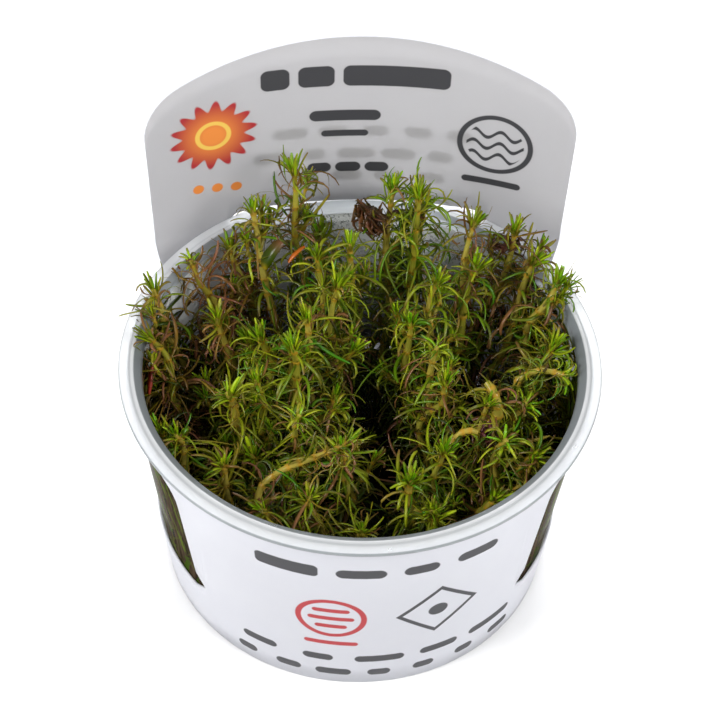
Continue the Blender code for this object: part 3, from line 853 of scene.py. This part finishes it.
def shoot_tips():
    """All tips: those that show one by one, then short ones that fill the clump."""
    seen = BACK_TIPS + LEFT_TIPS + RIGHT_TIPS + MIDDLE_TIPS + FRONT_TIPS
    tips = [np.array(t, float) for t in seen]
    bases = [t[:2] / spread(t[2]) for t in tips]
    random = np.random.default_rng(SEED)
    wanted = len(tips) + FILL_COUNT
    while len(tips) < wanted:
        spot = random.uniform(-FILL_RADIUS, FILL_RADIUS, 2)
        gaps = [np.linalg.norm(spot - b) for b in bases]
        to_shaft = math.hypot(spot[0] - SHAFT_MIDDLE[0], spot[1] - SHAFT_MIDDLE[1])
        if np.linalg.norm(spot) < FILL_RADIUS and min(gaps) > FILL_GAP and to_shaft > SHAFT_ROOM:
            height = FILL_HEIGHT + FILL_TILT * spot[1] + random.uniform(-4.0, 4.0)
            tips.append(np.array((*(spot * spread(height)), height)))
            bases.append(spot)
    return tips, bases


def shoot_plans():
    """Tip, base, sway and leaf length of every shoot, all in millimetres."""
    tips, bases = shoot_tips()
    random = np.random.default_rng(SEED + 1)
    plans = []
    for index, (tip, base) in enumerate(zip(tips, bases)):
        room = min(np.linalg.norm(base - other) for k, other in enumerate(bases) if k != index)
        sway = max(0.0, min(1.6, (room - STEM_CLEARANCE) / 2.0))
        heading = random.uniform(0.0, 2.0 * math.pi)
        sway_vector = sway * np.array((math.cos(heading), math.sin(heading)))
        # The solid shoots take three draws each; only the third, the leaf's length, is used here.
        *_, leaf = [random.uniform(*ends) for ends in PLAN_DRAWS]
        plans.append({"tip": tip, "base": base, "sway": sway_vector, "leaf": leaf})
    return plans


def stem_point(plan, z):
    """Middle of a shoot's stem at height z."""
    start = GEL_TOP + FIT_GAP
    share = (z - start) / (plan["tip"][2] - start)
    xy = plan["base"] * spread(z) + plan["sway"] * math.sin(math.pi * share)
    return np.array((xy[0], xy[1], z))


def keep_clear(point, half_width):
    """Hold a leaf's point off the gel, the wall, the flange and the sign, and within the part."""
    x, y, z = point
    z = max(z, GEL_TOP + GEL_CLEARANCE)
    reach = math.hypot(x, y)
    wall = inner_radius(min(z, CUP_HEIGHT)) - WALL_CLEARANCE - half_width
    wall -= LIP_DEPTH if z > LIP_FOOT else 0.0
    if z < CUP_HEIGHT + RIM_CLEARANCE and reach > wall:
        if z > CUP_HEIGHT - RIM_ZONE and reach - wall > RIM_PASSED:
            z = CUP_HEIGHT + RIM_CLEARANCE
        else:
            x, y = x * wall / reach, y * wall / reach
    sign_y = SIGN_STAND - SIGN_CLEARANCE - half_width - SIGN_BOW * (x - SIGN_BOW_MIDDLE) ** 2
    return np.array((max(-REACH_LIMIT, min(REACH_LIMIT, x)), min(y, sign_y), z))


class Branch:
    """A stem's path from its foot to its end, measured in millimetres along it."""

    def __init__(self, points, radius, leaf, bud):
        self.points = np.array(points)
        steps = np.linalg.norm(np.diff(self.points, axis=0), axis=1)
        self.marks = np.concatenate(([0.0], np.cumsum(steps)))
        self.length = float(self.marks[-1])
        self.radius = radius
        self.leaf = leaf
        self.bud = bud

    def at(self, distance):
        return np.array([np.interp(distance, self.marks, self.points[:, k]) for k in range(3)])

    def ring(self, distance, count, unevenness, random):
        """Middle, forward axis and outward direction for each leaf of a ring round the stem."""
        ahead = self.at(min(distance + 0.6, self.length)) - self.at(max(distance - 0.6, 0.0))
        ahead /= np.linalg.norm(ahead)
        first = np.cross(ahead, np.eye(3)[int(np.argmin(np.abs(ahead)))])
        first /= np.linalg.norm(first)
        second = np.cross(ahead, first)
        start = random.uniform(0.0, 2.0 * math.pi)
        for k in range(count):
            angle = start + 2.0 * math.pi * (k + random.uniform(-unevenness, unevenness)) / count
            yield self.at(distance), ahead, math.cos(angle) * first + math.sin(angle) * second


class Midribs:
    """Lines that a shoot grows along, with the width and colour values of every point."""

    def __init__(self, warmth):
        self.points = []
        self.edges = []
        self.warmth = warmth
        names = ("half_width", "along", "tint", "warm", "age", "stem", "tilt")
        self.values = {name: [] for name in names}

    def line(self, points, half_widths, tint, warm, age, stem=0.0, along=None, tilt=0.0):
        """Add a line and its values, of which only width and way along change from end to end."""
        start = len(self.points)
        count = len(points)
        self.points += [tuple(p) for p in points]
        self.edges += [(start + k, start + k + 1) for k in range(count - 1)]
        self.values["half_width"] += list(half_widths)
        self.values["along"] += along or [k / (count - 1) for k in range(count)]
        for key, value in dict(tint=tint, warm=warm, age=age, stem=stem, tilt=tilt).items():
            self.values[key] += [value] * count

    def leaf(self, points, half_width, shares, age, random, warm=None, tilt=None):
        """A leaf's midrib; one without a warmth or tilt of its own gets a chance one."""
        warm = min(1.0, 0.62 * self.warmth + random.uniform(0.0, 0.5)) if warm is None else warm
        tilt = random.uniform(-0.7, 0.7) if tilt is None else tilt
        half_widths = [half_width * share for share in shares]
        self.line(points, half_widths, random.random(), warm, age, tilt=tilt)

    def mesh(self, name):
        made = bpy.data.meshes.new(name)
        made.from_pydata((np.array(self.points) * MM).tolist(), self.edges, [])
        for key, numbers in self.values.items():
            scale = MM if key == "half_width" else 1.0
            layer = made.attributes.new(key, "FLOAT", "POINT")
            layer.data.foreach_set("value", np.array(numbers, np.float32) * scale)
        return made


def smooth_path(points, count):
    """A smooth curve through three or four points."""
    points = np.array(points, float)
    steps = np.linalg.norm(np.diff(points, axis=0), axis=1)
    marks = np.concatenate(([0.0], np.cumsum(steps))) / steps.sum()
    fit = np.polynomial.polynomial.polyfit(marks, points, len(points) - 1)
    return np.polynomial.polynomial.polyval(np.linspace(0.0, 1.0, count), fit).T


def leaf_line(root, out, up, length, habit, swing, half_width):
    """Points of a leaf: its pitch changes along it, and it swings a little sideways."""
    pitch, bend, power = habit
    side = np.cross(up, out)
    points = [root]
    step = length / (LEAF_POINTS - 1)
    for k in range(LEAF_POINTS - 1):
        share = (k + 0.5) / (LEAF_POINTS - 1)
        lift = pitch - bend * share ** power
        turn = swing * share
        heading = math.cos(turn) * out + math.sin(turn) * side
        points.append(points[-1] + step * (math.cos(lift) * heading + math.sin(lift) * up))
    return [keep_clear(p, half_width) for p in points]


# Habits of a leaf: how many have it, counted up, then pitch at the foot, bend and how late it
# bends.  They arch over like a jet, rise, hang, or curl right round.
LEAF_HABITS = ((0.45, (0.5, 1.25), (1.5, 3.2), 1.1), (0.62, (0.0, 0.8), (-1.6, 0.0), 1.0),
               (0.74, (-0.6, 0.2), (0.2, 1.2), 1.0), (2.0, (0.2, 1.1), (3.0, 5.8), 1.5))


def leaf_habit(share, random):
    """Pitch, bend and power of one leaf; low ones, with a greater share, curl more often."""
    kind = random.random() + 0.12 * share
    pitch, bend, power = next(habit for limit, *habit in LEAF_HABITS if kind < limit)
    return random.uniform(*pitch), random.uniform(*bend), power


# A joint's rings: distance from the joint, thickness and warmth.
JOINT_RINGS = ((-0.8, 0.98, 0.1), (-0.25, 1.2, 0.9), (0.15, 1.24, 1.0), (0.6, 0.98, 0.25))


def add_stem(ribs, branch, joints, random):
    """The stem, a little thicker and warmer at each joint."""
    top = branch.length
    foot = branch.radius * random.uniform(0.95, 1.1)
    marks = {0.0: (foot, 0.0), top: (branch.radius * 0.6, 0.2)}

    def radius_at(mark):
        return branch.radius * (1.0 - 0.3 * smoothstep(top - 14.0, top, mark))

    for mark in np.arange(1.5, top - 0.5, 2.2):
        marks[float(mark)] = (radius_at(mark), 0.0)
    for joint in joints:
        for near in [m for m in marks if 0.0 < abs(m - joint) < 1.3 and 0.0 < m < top]:
            del marks[near]
        for offset, swell, warm in JOINT_RINGS:
            if 0.1 < joint + offset < top - 0.1:
                marks[joint + offset] = (swell * radius_at(joint), warm)
    distances = sorted(marks)
    ribs.line([branch.at(d) for d in distances], [marks[d][0] for d in distances], random.random(),
              min(1.0, 0.5 * ribs.warmth + random.uniform(0.0, 0.5)), 0.5, 1.0,
              [marks[d][1] for d in distances])


def add_whorl(ribs, branch, distance, count, random):
    """One ring of leaves round a joint."""
    share = 1.0 - distance / branch.length
    young = 1.0 - smoothstep(0.5, 7.0, branch.length - distance)
    for centre, ahead, out in branch.ring(distance, count, 0.35, random):
        length = branch.leaf * random.uniform(0.7, 1.6) * (1.0 - 0.4 * young)
        half_width = (0.16 + 0.24 * random.random() ** 1.3) * (1.0 - 0.1 * young)
        root = centre + out * branch.radius * 0.7 + ahead * random.uniform(-0.25, 0.25)
        pitch, bend, power = leaf_habit(share, random)
        habit = (pitch + 0.35 * young, bend * (1.0 - 0.15 * young), power)
        points = leaf_line(root, out, ahead, length, habit, random.uniform(-1.8, 1.8), half_width)
        ribs.leaf(points, half_width, LEAF_SHARES, share, random)


def add_bud(ribs, branch, openness, random):
    """Young leaves that stand together at the tip like a brush, closed or just opening."""
    size = branch.bud
    for ring, count in enumerate((3, 4, 5)):
        distance = branch.length - (0.4 + 0.8 * ring) * size
        for centre, ahead, out in branch.ring(distance, count, 0.2, random):
            length = (4.0 + 0.7 * ring) * size * random.uniform(0.7, 1.15)
            pitch = 1.5 - 0.08 * ring - 0.6 * openness + random.uniform(-0.12, 0.05)
            bend = -0.2 + 1.2 * openness + 0.1 * ring + random.uniform(0.0, 0.35)
            half_width = random.uniform(0.22, 0.42) * size
            root = centre + out * (0.2 + 0.16 * ring) * size
            swing = random.uniform(-0.4, 0.4)
            points = leaf_line(root, out, ahead, length, (pitch, bend, 1.3), swing, half_width)
            ribs.leaf(points, half_width, BUD_SHARES, -1.0 + 0.3 * ring, random)


def press_on_wall(ribs, branch, count, random):
    """Leaves of an outer shoot that bend off at the cup's wall and stick flat to its wet inside."""
    for _ in range(count):
        root = branch.at(random.uniform(1.0, branch.length - 8.0))
        azimuth = math.atan2(root[1], root[0]) + random.uniform(-0.3, 0.3)
        low = max(GEL_TOP + 1.5, root[2] + random.uniform(-8.0, 4.0))
        run = random.choice((-1.0, 1.0)) * random.uniform(0.12, 0.26)
        climb = random.uniform(-3.0, 3.0)
        half_width = random.uniform(0.4, 0.65)
        line = [root]
        for share in np.linspace(0.0, 1.0, LEAF_POINTS - 1):
            height = min(LIP_FOOT - 1.2, max(GEL_TOP + 1.0, low + climb * share))
            reach = inner_radius(height) - 0.1 - LEAF_THICKNESS * half_width
            turn = azimuth + run * share
            line.append(np.array((reach * math.cos(turn), reach * math.sin(turn), height)))
        age = random.uniform(0.35, 0.8)
        ribs.leaf(line, half_width, LEAF_SHARES, age, random, tilt=math.pi / 2.0)


def grow_branch(ribs, branch, spacing, count, openness, random):
    """Stem, whorls from the tip down, closer at the top, and bud."""
    joints = []
    distance = branch.length - 1.9 * branch.bud
    while distance > 1.2:
        joints.append(distance)
        distance -= spacing * random.uniform(0.75, 1.2) * (0.6 if len(joints) < 2 else 1.0)
    add_stem(ribs, branch, joints, random)
    for joint in joints:
        add_whorl(ribs, branch, joint, count + int(random.integers(-1, 3)), random)
    if openness is not None:
        add_bud(ribs, branch, openness, random)


def main_branch(plan, random):
    """The shoot's own stem, which wanders a little on its way up."""
    start = GEL_TOP - 0.8
    top = plan["tip"][2] - 3.6
    turns = random.uniform(0.8, 2.2)
    swing = random.uniform(0.5, 1.9, 2)
    offset = random.uniform(0.0, 2.0 * math.pi, 2)
    radius = random.uniform(0.6, 0.95)
    points = []
    for z in np.linspace(start, top, STEM_STEPS):
        share = (z - start) / (top - start)
        hold = math.sin(math.pi * share ** 1.3) ** 0.8 if share < 1.0 else 0.0
        wander = hold * swing * np.sin(2.0 * math.pi * turns * share + offset)
        x, y, z = stem_point(plan, z)
        points.append(keep_clear((x + wander[0], y + wander[1], z), radius))
    return Branch(points, radius, plan["leaf"], random.uniform(0.75, 1.15))


def side_branch(main, top, random):
    """A side shoot: out of a joint, then up."""
    start = main.length - random.uniform(7.0, 30.0)
    if start < SIDE_LOWEST:
        return None
    root = main.at(start)
    angle = random.uniform(0.0, 2.0 * math.pi)
    if math.hypot(root[0], root[1]) > LEANS_OUT_BEYOND:
        angle = math.atan2(root[1], root[0]) + random.uniform(-1.2, 1.2)
    length = random.uniform(7.0, 15.0)
    radius = random.uniform(0.42, 0.62)
    rise = random.uniform(1.0, 1.5)
    heading = random.uniform(-0.8, 0.8)
    points = [root]
    for k in range(SIDE_STEPS):
        share = (k + 0.5) / SIDE_STEPS
        pitch = 0.35 + (rise - 0.35) * smoothstep(0.0, 0.7, share)
        turn = angle + heading * share
        out = np.array((math.cos(turn), math.sin(turn), 0.0))
        step = length / SIDE_STEPS * (math.cos(pitch) * out + math.sin(pitch) * np.eye(3)[2])
        points.append(keep_clear(points[-1] + step, radius))
    if points[-1][2] > top - SIDE_UNDER_TIP:
        return None
    return Branch(points, radius, random.uniform(5.0, 7.5), random.uniform(0.6, 0.85))


def add_dry_tuft(ribs, root, ends, count, half_width, age, random):
    """Withered leaves in a folded tuft: each runs from near the root to a place among the ends."""
    ends = np.array(ends, float)
    for _ in range(count):
        shares = random.dirichlet(np.full(len(ends), TUFT_SPREAD))
        end = shares @ ends + random.uniform(-0.9, 0.9, 3)
        begin = np.array(root) + random.uniform(-1.0, 1.0, 3)
        folds = [begin + (end - begin) * share + random.uniform(-1.3, 1.3, 3)
                 for share in (0.3, 0.5, 0.75)]
        path = smooth_path((begin, *folds, end), LEAF_POINTS)
        ribs.leaf(path, half_width * random.uniform(0.6, 1.2), DRY_SHARES, age, random, 1.0)


# Stems that lie across the others: the points they pass, radius, and how far the bud is open
# (None where the stem was cut off).  Each belongs to the shoot with the tip given first.
LYING = {
    (-20, -33, 50): (((-18.6, -30.7, 40), (-19, -26, 46.5), (-11.6, -22.5, 50),
                      (-1.2, -17.8, 52.5)), 0.7, 0.2),
    (36, -6, 55): (((34.6, -5.8, 47), (35.2, -0.5, 55), (39, -0.8, 56), (43, -1.2, 54.5)),
                   0.8, 0.9),
    (27, -9, 58): (((24.3, -8.1, 44), (28.4, -8.6, 49), (28.6, -8.0, 53), (26.1, -4.9, 56.5)),
                   1.2, None),
    (18, -18, 54): (((19, -16, 47), (20, -14.2, 49.5), (21.6, -13.4, 50.5), (24.6, -13.4, 50.5)),
                    0.85, None),
}
# Single leaves that stand out by their colour: points, half width, warmth and age value.
ODD_LEAVES = {
    (-10, 24, 67): (((-16.0, 22.5, 61.5), (-14.5, 23.6, 63.2), (-12.6, 25.0, 64.0)),
                    0.5, 0.0, DRIED_RED),
    (-46, 3, 62): (((-44.0, -3.4, 47.3), (-43.8, -1.2, 49.5), (-43.5, 0.9, 51.6)),
                   0.55, 1.0, DRIED_RED),
    (12, 33, 78): (((5.5, 33.0, 67.0), (8.6, 34.0, 66.0), (12.8, 34.0, 65.2)),
                   0.9, 1.0, DRIED_BROWN),
    (-25, 33, 72): (((-21.2, 23.4, 58.5), (-20.0, 24.4, 61.5), (-17.6, 26.4, 63.8)), 1.5, 0.0, 1.0),
}
# Tufts of dried leaves: foot, far ends, number of leaves, half width and age value.
DRY_TUFTS = {
    (-3, 27, 68): ((-1.4, 31.5, 70.6),
                   ((5.6, 29.4, 66.6), (3.8, 28.6, 63.8), (-1.2, 29.0, 65.4), (1.4, 28.6, 63.6),
                    (5.8, 29.8, 68.4)), 44, 0.42, DRIED_BROWN),
    (31, -16, 55): ((27.0, -13.5, 48.6),
                    ((24.5, -13.0, 51.0), (29.5, -12.0, 50.5), (27.0, -16.5, 50.5),
                     (26.0, -11.0, 52.5)), 18, 0.38, DRIED_BROWN + 0.3),
    (33, 31, 70): ((28.4, 30.0, 61.4), ((34.8, 28.2, 62.4), (33.4, 29.5, 60.6), (31.0, 30.6, 65.6)),
                   15, 0.42, DRIED_BROWN + 0.1),
}
# Shoots that have turned olive and brown, with how far.
WARM_SHOOTS = {(-38, 22, 66): 1.0, (-30, 30, 63): 1.0, (-31, 10, 61): 0.7, (-45, 14, 65): 0.5,
               (-46, 3, 62): 0.7, (-16, 38, 79): 0.5, (24, 31, 72): 0.7, (33, 31, 70): 0.6,
               (38, 26, 66): 0.4, (27, -9, 58): 0.5, (-28, -24, 54): 0.5, (-20, -33, 50): 0.5}
# Shoots whose outer leaves stick to the wall at the side windows.
BESIDE_WINDOWS = ((-46, 3, 62), (-38, -17, 54), (-28, -24, 54), (42, 6, 60), (36, -6, 55),
                  (38, -19, 53), (29, -28, 50), (-45, 14, 65), (42, 19, 67))
# Shoots whose bud is opening, with how far.
OPEN_SHOOTS = {(-12, -14, 58): 0.9, (16, 4, 61): 0.8, (36, -6, 55): 0.8, (31, -16, 55): 0.9,
               (-38, 22, 66): 0.8, (-28, -9, 58): 0.7}
SHOOT_SEED = 1000


def shoot_midribs(index, plan):
    """Every midrib of one shoot: main stem, side shoots, and what is special to it."""
    random = np.random.default_rng(SHOOT_SEED + index)
    tip = tuple(int(round(c)) for c in plan["tip"])
    ribs = Midribs(WARM_SHOOTS.get(tip, random.uniform(0.0, 0.45)))
    main = main_branch(plan, random)
    openness = OPEN_SHOOTS.get(tip, random.uniform(0.0, 0.2))
    grow_branch(ribs, main, WHORL_SPACING, WHORL_LEAVES, openness, random)
    for _ in range(SIDE_SHOOTS):
        side = side_branch(main, plan["tip"][2], random)
        if side:
            grow_branch(ribs, side, SIDE_SPACING, SIDE_LEAVES, random.uniform(0.0, 0.25), random)
    if tip in BESIDE_WINDOWS:
        press_on_wall(ribs, main, PRESSED_LEAVES, random)
    if tip in LYING:
        points, radius, openness = LYING[tip]
        count = 7 if openness is not None else 3
        lying = Branch(smooth_path(points, LYING_STEPS), radius, 6.5, 0.85)
        grow_branch(ribs, lying, LYING_SPACING, count, openness, random)
    if tip in ODD_LEAVES:
        points, half_width, warm, age = ODD_LEAVES[tip]
        ribs.leaf(smooth_path(points, LEAF_POINTS), half_width, DRY_SHARES, age, random, warm)
    if tip in DRY_TUFTS:
        add_dry_tuft(ribs, *DRY_TUFTS[tip], random)
    return ribs


def grow_tree(material):
    """Geometry Nodes: sweeps a round section along stems and a channelled one along leaves."""
    grow = Nodes(bpy.data.node_groups.new("Grow shoot", "GeometryNodeTree"))
    node = grow.node
    face = grow.tree.interface
    face.new_socket("Midribs", in_out="INPUT", socket_type="NodeSocketGeometry")
    sides = face.new_socket("Stem sides", in_out="INPUT", socket_type="NodeSocketInt")
    channel = face.new_socket("Leaf channel", in_out="INPUT", socket_type="NodeSocketFloat")
    face.new_socket("Shoot", in_out="OUTPUT", socket_type="NodeSocketGeometry")

    def value_of(name):
        made = node("GeometryNodeInputNamedAttribute", {"data_type": "FLOAT"}, Name=name)
        return made.outputs["Attribute"]

    source = node("NodeGroupInput").outputs
    width = value_of("half_width")
    is_stem = node("FunctionNodeCompare", {"data_type": "FLOAT", "operation": "GREATER_THAN"},
                   value_of("stem"), 0.5).outputs["Result"]
    is_leaf = node("FunctionNodeBooleanMath", {"operation": "NOT"}, is_stem).outputs[0]
    stems = node("GeometryNodeMeshToCurve", Mesh=source["Midribs"], Selection=is_stem)
    leaves = node("GeometryNodeMeshToCurve", Mesh=source["Midribs"], Selection=is_leaf)
    level = node("GeometryNodeSetCurveNormal", {"mode": "Z_UP"}, Curve=leaves.outputs[0])
    tilted = node("GeometryNodeSetCurveTilt", Curve=level.outputs[0], Tilt=value_of("tilt"))
    round_section = node("GeometryNodeCurvePrimitiveCircle", {"mode": "RADIUS"},
                         Resolution=source["Stem sides"], Radius=1.0)
    dip = node("ShaderNodeCombineXYZ", Y=source["Leaf channel"])
    section = node("GeometryNodeCurvePrimitiveQuadrilateral", {"mode": "POINTS"},
                   Point_1=(-1.0, LEAF_EDGE, 0.0), Point_2=dip.outputs[0],
                   Point_3=(1.0, LEAF_EDGE, 0.0), Point_4=(0.0, LEAF_KEEL, 0.0))
    place = node("ShaderNodeSeparateXYZ", Vector=node("GeometryNodeInputPosition").outputs[0])
    marked = node("GeometryNodeStoreNamedAttribute", {"data_type": "FLOAT", "domain": "POINT"},
                  Geometry=section.outputs[0], Name="across", Value=place.outputs["X"])
    joined = node("GeometryNodeJoinGeometry")
    for path, profile in ((tilted, marked), (stems, round_section)):
        swept = node("GeometryNodeCurveToMesh", Curve=path.outputs[0], Scale=width,
                     Profile_Curve=profile.outputs[0], Fill_Caps=True)
        grow.put(joined.inputs[0], swept.outputs[0])
    smooth = node("GeometryNodeSetShadeSmooth", Geometry=joined.outputs[0], Shade_Smooth=True)
    real = node("GeometryNodeRealizeInstances", Geometry=smooth.outputs[0])
    coloured = node("GeometryNodeSetMaterial", Geometry=real.outputs[0], Material=material)
    node("NodeGroupOutput", Shoot=coloured.outputs[0])
    return grow.tree, sides.identifier, channel.identifier


# Two ends of each tissue's colour, between which every leaf and stem has its own place.
LEAF_COLOURS = {
    "fresh": ((0.16, 0.47, 0.004, 1.0), (0.56, 0.68, 0.014, 1.0)),
    "grown": ((0.045, 0.20, 0.002, 1.0), (0.42, 0.46, 0.012, 1.0)),
    "olive": ((0.18, 0.065, 0.008, 1.0), (0.42, 0.24, 0.025, 1.0)),
    # Older leaves low on the stem: darker green, and near black as painted shade.
    "lower_and_shaded": ((0.004, 0.028, 0.0005, 1.0), (0.060, 0.095, 0.001, 1.0)),
    "dry": ((0.035, 0.011, 0.006, 1.0), (0.16, 0.048, 0.020, 1.0)),
    "stalk": ((0.28, 0.30, 0.025, 1.0), (0.52, 0.44, 0.08, 1.0)),
}
BLUSH_PINK = (0.22, 0.055, 0.045, 1.0)
TIP_BROWN = (0.17, 0.055, 0.032, 1.0)
LEAF_FOOT = (0.55, 0.36, 0.015, 1.0)
# Painted shade towards a leaf's edges, where its channelled section turns away.
LEAF_RIM_PAINTED_SHADE = (0.05, 0.045, 0.005, 1.0)
DRY_PURPLE = (0.12, 0.020, 0.032, 1.0)
RED_ORANGE = (0.48, 0.11, 0.008, 1.0)
RED_DEEP = (0.36, 0.02, 0.012, 1.0)
STALK_BROWN = (0.24, 0.14, 0.02, 1.0)
JOINT_ORANGE = (0.50, 0.24, 0.015, 1.0)
MOTTLE_DARK = (0.07, 0.08, 0.002, 1.0)
LEAF_GLOW = (0.45, 0.56, 0.01, 1.0)


def living_green():
    """Leaf and stem tissue: bright at the buds, darker green below and near black low down, partly
    older tissue and partly painted shade, brown-red at some tips.
    """
    paint = Paint("Living green", IOR=1.40, Specular_IOR_Level=0.4, Coat_Weight=0.15,
                  Coat_Roughness=0.08)
    vector, _ = paint.place()
    names = ("along", "tint", "warm", "age", "stem", "across")
    along, tint, warm, age, stem, across = [paint.attribute(name) for name in names]
    mottle = paint.noise(vector, 700.0)
    shade = {kind: paint.mix(tint, *ends) for kind, ends in LEAF_COLOURS.items()}
    blush = (warm + tint).ramp(1.22, 1.4) * age.ramp(-0.6, 0.1)
    brown_tip = along.ramp(0.55, 0.96) * ((tint * 7.3).math("FRACT") + warm * 0.5).ramp(0.5, 0.9)
    leaf = paint.layers(
        shade["fresh"], (age.ramp(-0.5, 0.05), shade["grown"]),
        (warm.ramp(0.3, 0.85) * age.ramp(-1.0, 0.0), shade["olive"]),
        # Leaves low on the stem darken: partly older tissue, partly painted shade.
        (age.ramp(0.22, 0.6), shade["lower_and_shaded"]), (blush * 0.8, BLUSH_PINK),
        (brown_tip * 0.85, TIP_BROWN), (along.ramp(0.2, 0.0) * 0.65, LEAF_FOOT),
        # Painted shade: leaves darken towards their edges.
        (abs(across).ramp(0.35, 1.0) * 0.25, LEAF_RIM_PAINTED_SHADE))
    dry = paint.mix(age.ramp(DRIED_BROWN, DRIED_BROWN + 0.3), shade["dry"], DRY_PURPLE)
    leaf = paint.mix(age.ramp(1.5, 1.6), leaf, dry)
    leaf = paint.mix(age.ramp(2.5, 2.6), leaf, paint.mix(warm, RED_ORANGE, RED_DEEP))
    stalk = paint.layers(shade["stalk"], (warm * 0.35, STALK_BROWN), (along * 0.75, JOINT_ORANGE))
    colour = paint.mix(mottle.ramp(0.3, 0.75) * 0.25, paint.mix(stem, leaf, stalk), MOTTLE_DARK)
    paint.let_through(0.2, LEAF_GLOW)
    return paint.finish(colour, 0.22 + mottle * 0.25, paint.noise(vector, 2600.0), 0.25, 0.0001)


def grown_piece(name, ribs, tree, sides_key, channel_key):
    """Run the growing tree over a set of midribs and keep the result as a plain mesh."""
    source = placed(name + "_midribs", ribs.mesh(name + "_midribs"))
    grow = source.modifiers.new("Grow", "NODES")
    grow.node_group = tree
    grow[sides_key] = STEM_SIDES
    grow[channel_key] = LEAF_CHANNEL
    depsgraph = bpy.context.evaluated_depsgraph_get()
    depsgraph.update()
    mesh = bpy.data.meshes.new_from_object(source.evaluated_get(depsgraph))
    mesh.name = name
    bpy.data.objects.remove(source, do_unlink=True)
    return placed(name, mesh)


grow, sides_key, channel_key = grow_tree(living_green())
for index, plan in enumerate(shoot_plans()):
    number = "%02d" % (index + 1)
    ribs = shoot_midribs(index, plan)
    shoot = grown_piece("leafy_shoot_" + number, ribs, grow, sides_key, channel_key)
    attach(shoot, "root")
    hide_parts("shoot_" + number)


# Studio
# A plain white table under three soft round lamps and a white sky, seen from the front and well
# above, as the photograph shows the pot.
CAMERA_PLACE = (-0.0001, -0.2981, 0.3941)
CAMERA_PITCH = math.radians(48.55)
CAMERA_ROLL = math.radians(1.95)
CAMERA_LENS = 108.65
TABLE_HALF_SIZE = 3000.0
TABLE_WHITE = (0.93, 0.93, 0.93, 1.0)
TABLE_GREY = (0.9, 0.9, 0.9, 1.0)
LOOK_AT = (0.0, 0.0, 0.05)
WORLD_LIGHT = 0.28


def pale_floor():
    """Matt white paint with a hint of clouding."""
    paint = Paint("Pale floor")
    vector, _ = paint.place()
    return paint.finish(paint.mix(paint.noise(vector, 8.0) * 0.1, TABLE_WHITE, TABLE_GREY), 0.6)


def softbox(name, place, size, power):
    """A round lamp turned towards the pot; place and size in metres, power in watts."""
    light = bpy.data.lights.new(name, "AREA")
    light.shape = "DISK"
    light.size = size
    light.energy = power
    lamp = placed(name, light)
    lamp.location = place
    lamp.rotation_euler = (Vector(LOOK_AT) - Vector(place)).to_track_quat("-Z", "Y").to_euler()


bm = bmesh.new()
bmesh.ops.create_grid(bm, x_segments=1, y_segments=1, size=TABLE_HALF_SIZE)
floor = piece_from(bm, "white_table", pale_floor())

softbox("Soft key", (-0.62, -0.32, 0.5), 0.45, 7.2)
softbox("Soft fill", (0.62, -0.32, 0.5), 0.45, 6.2)
softbox("Soft back", (0.0, 0.75, 0.55), 0.6, 6.0)

world = bpy.data.worlds.new("Soft white")
world.use_nodes = True
background = world.node_tree.nodes["Background"]
background.inputs["Color"].default_value = (1.0, 1.0, 1.0, 1.0)
background.inputs["Strength"].default_value = WORLD_LIGHT
bpy.context.scene.world = world
bpy.context.scene.view_settings.view_transform = "Standard"

camera = placed("Camera", bpy.data.cameras.new("Camera"))
camera.data.lens = CAMERA_LENS
camera.data.sensor_width = 36.0
camera.data.clip_start = 0.01
tilt = Matrix.Rotation(math.pi / 2.0 - CAMERA_PITCH, 4, "X") @ Matrix.Rotation(CAMERA_ROLL, 4, "Z")
camera.matrix_world = Matrix.Translation(CAMERA_PLACE) @ tilt
bpy.context.scene.camera = camera
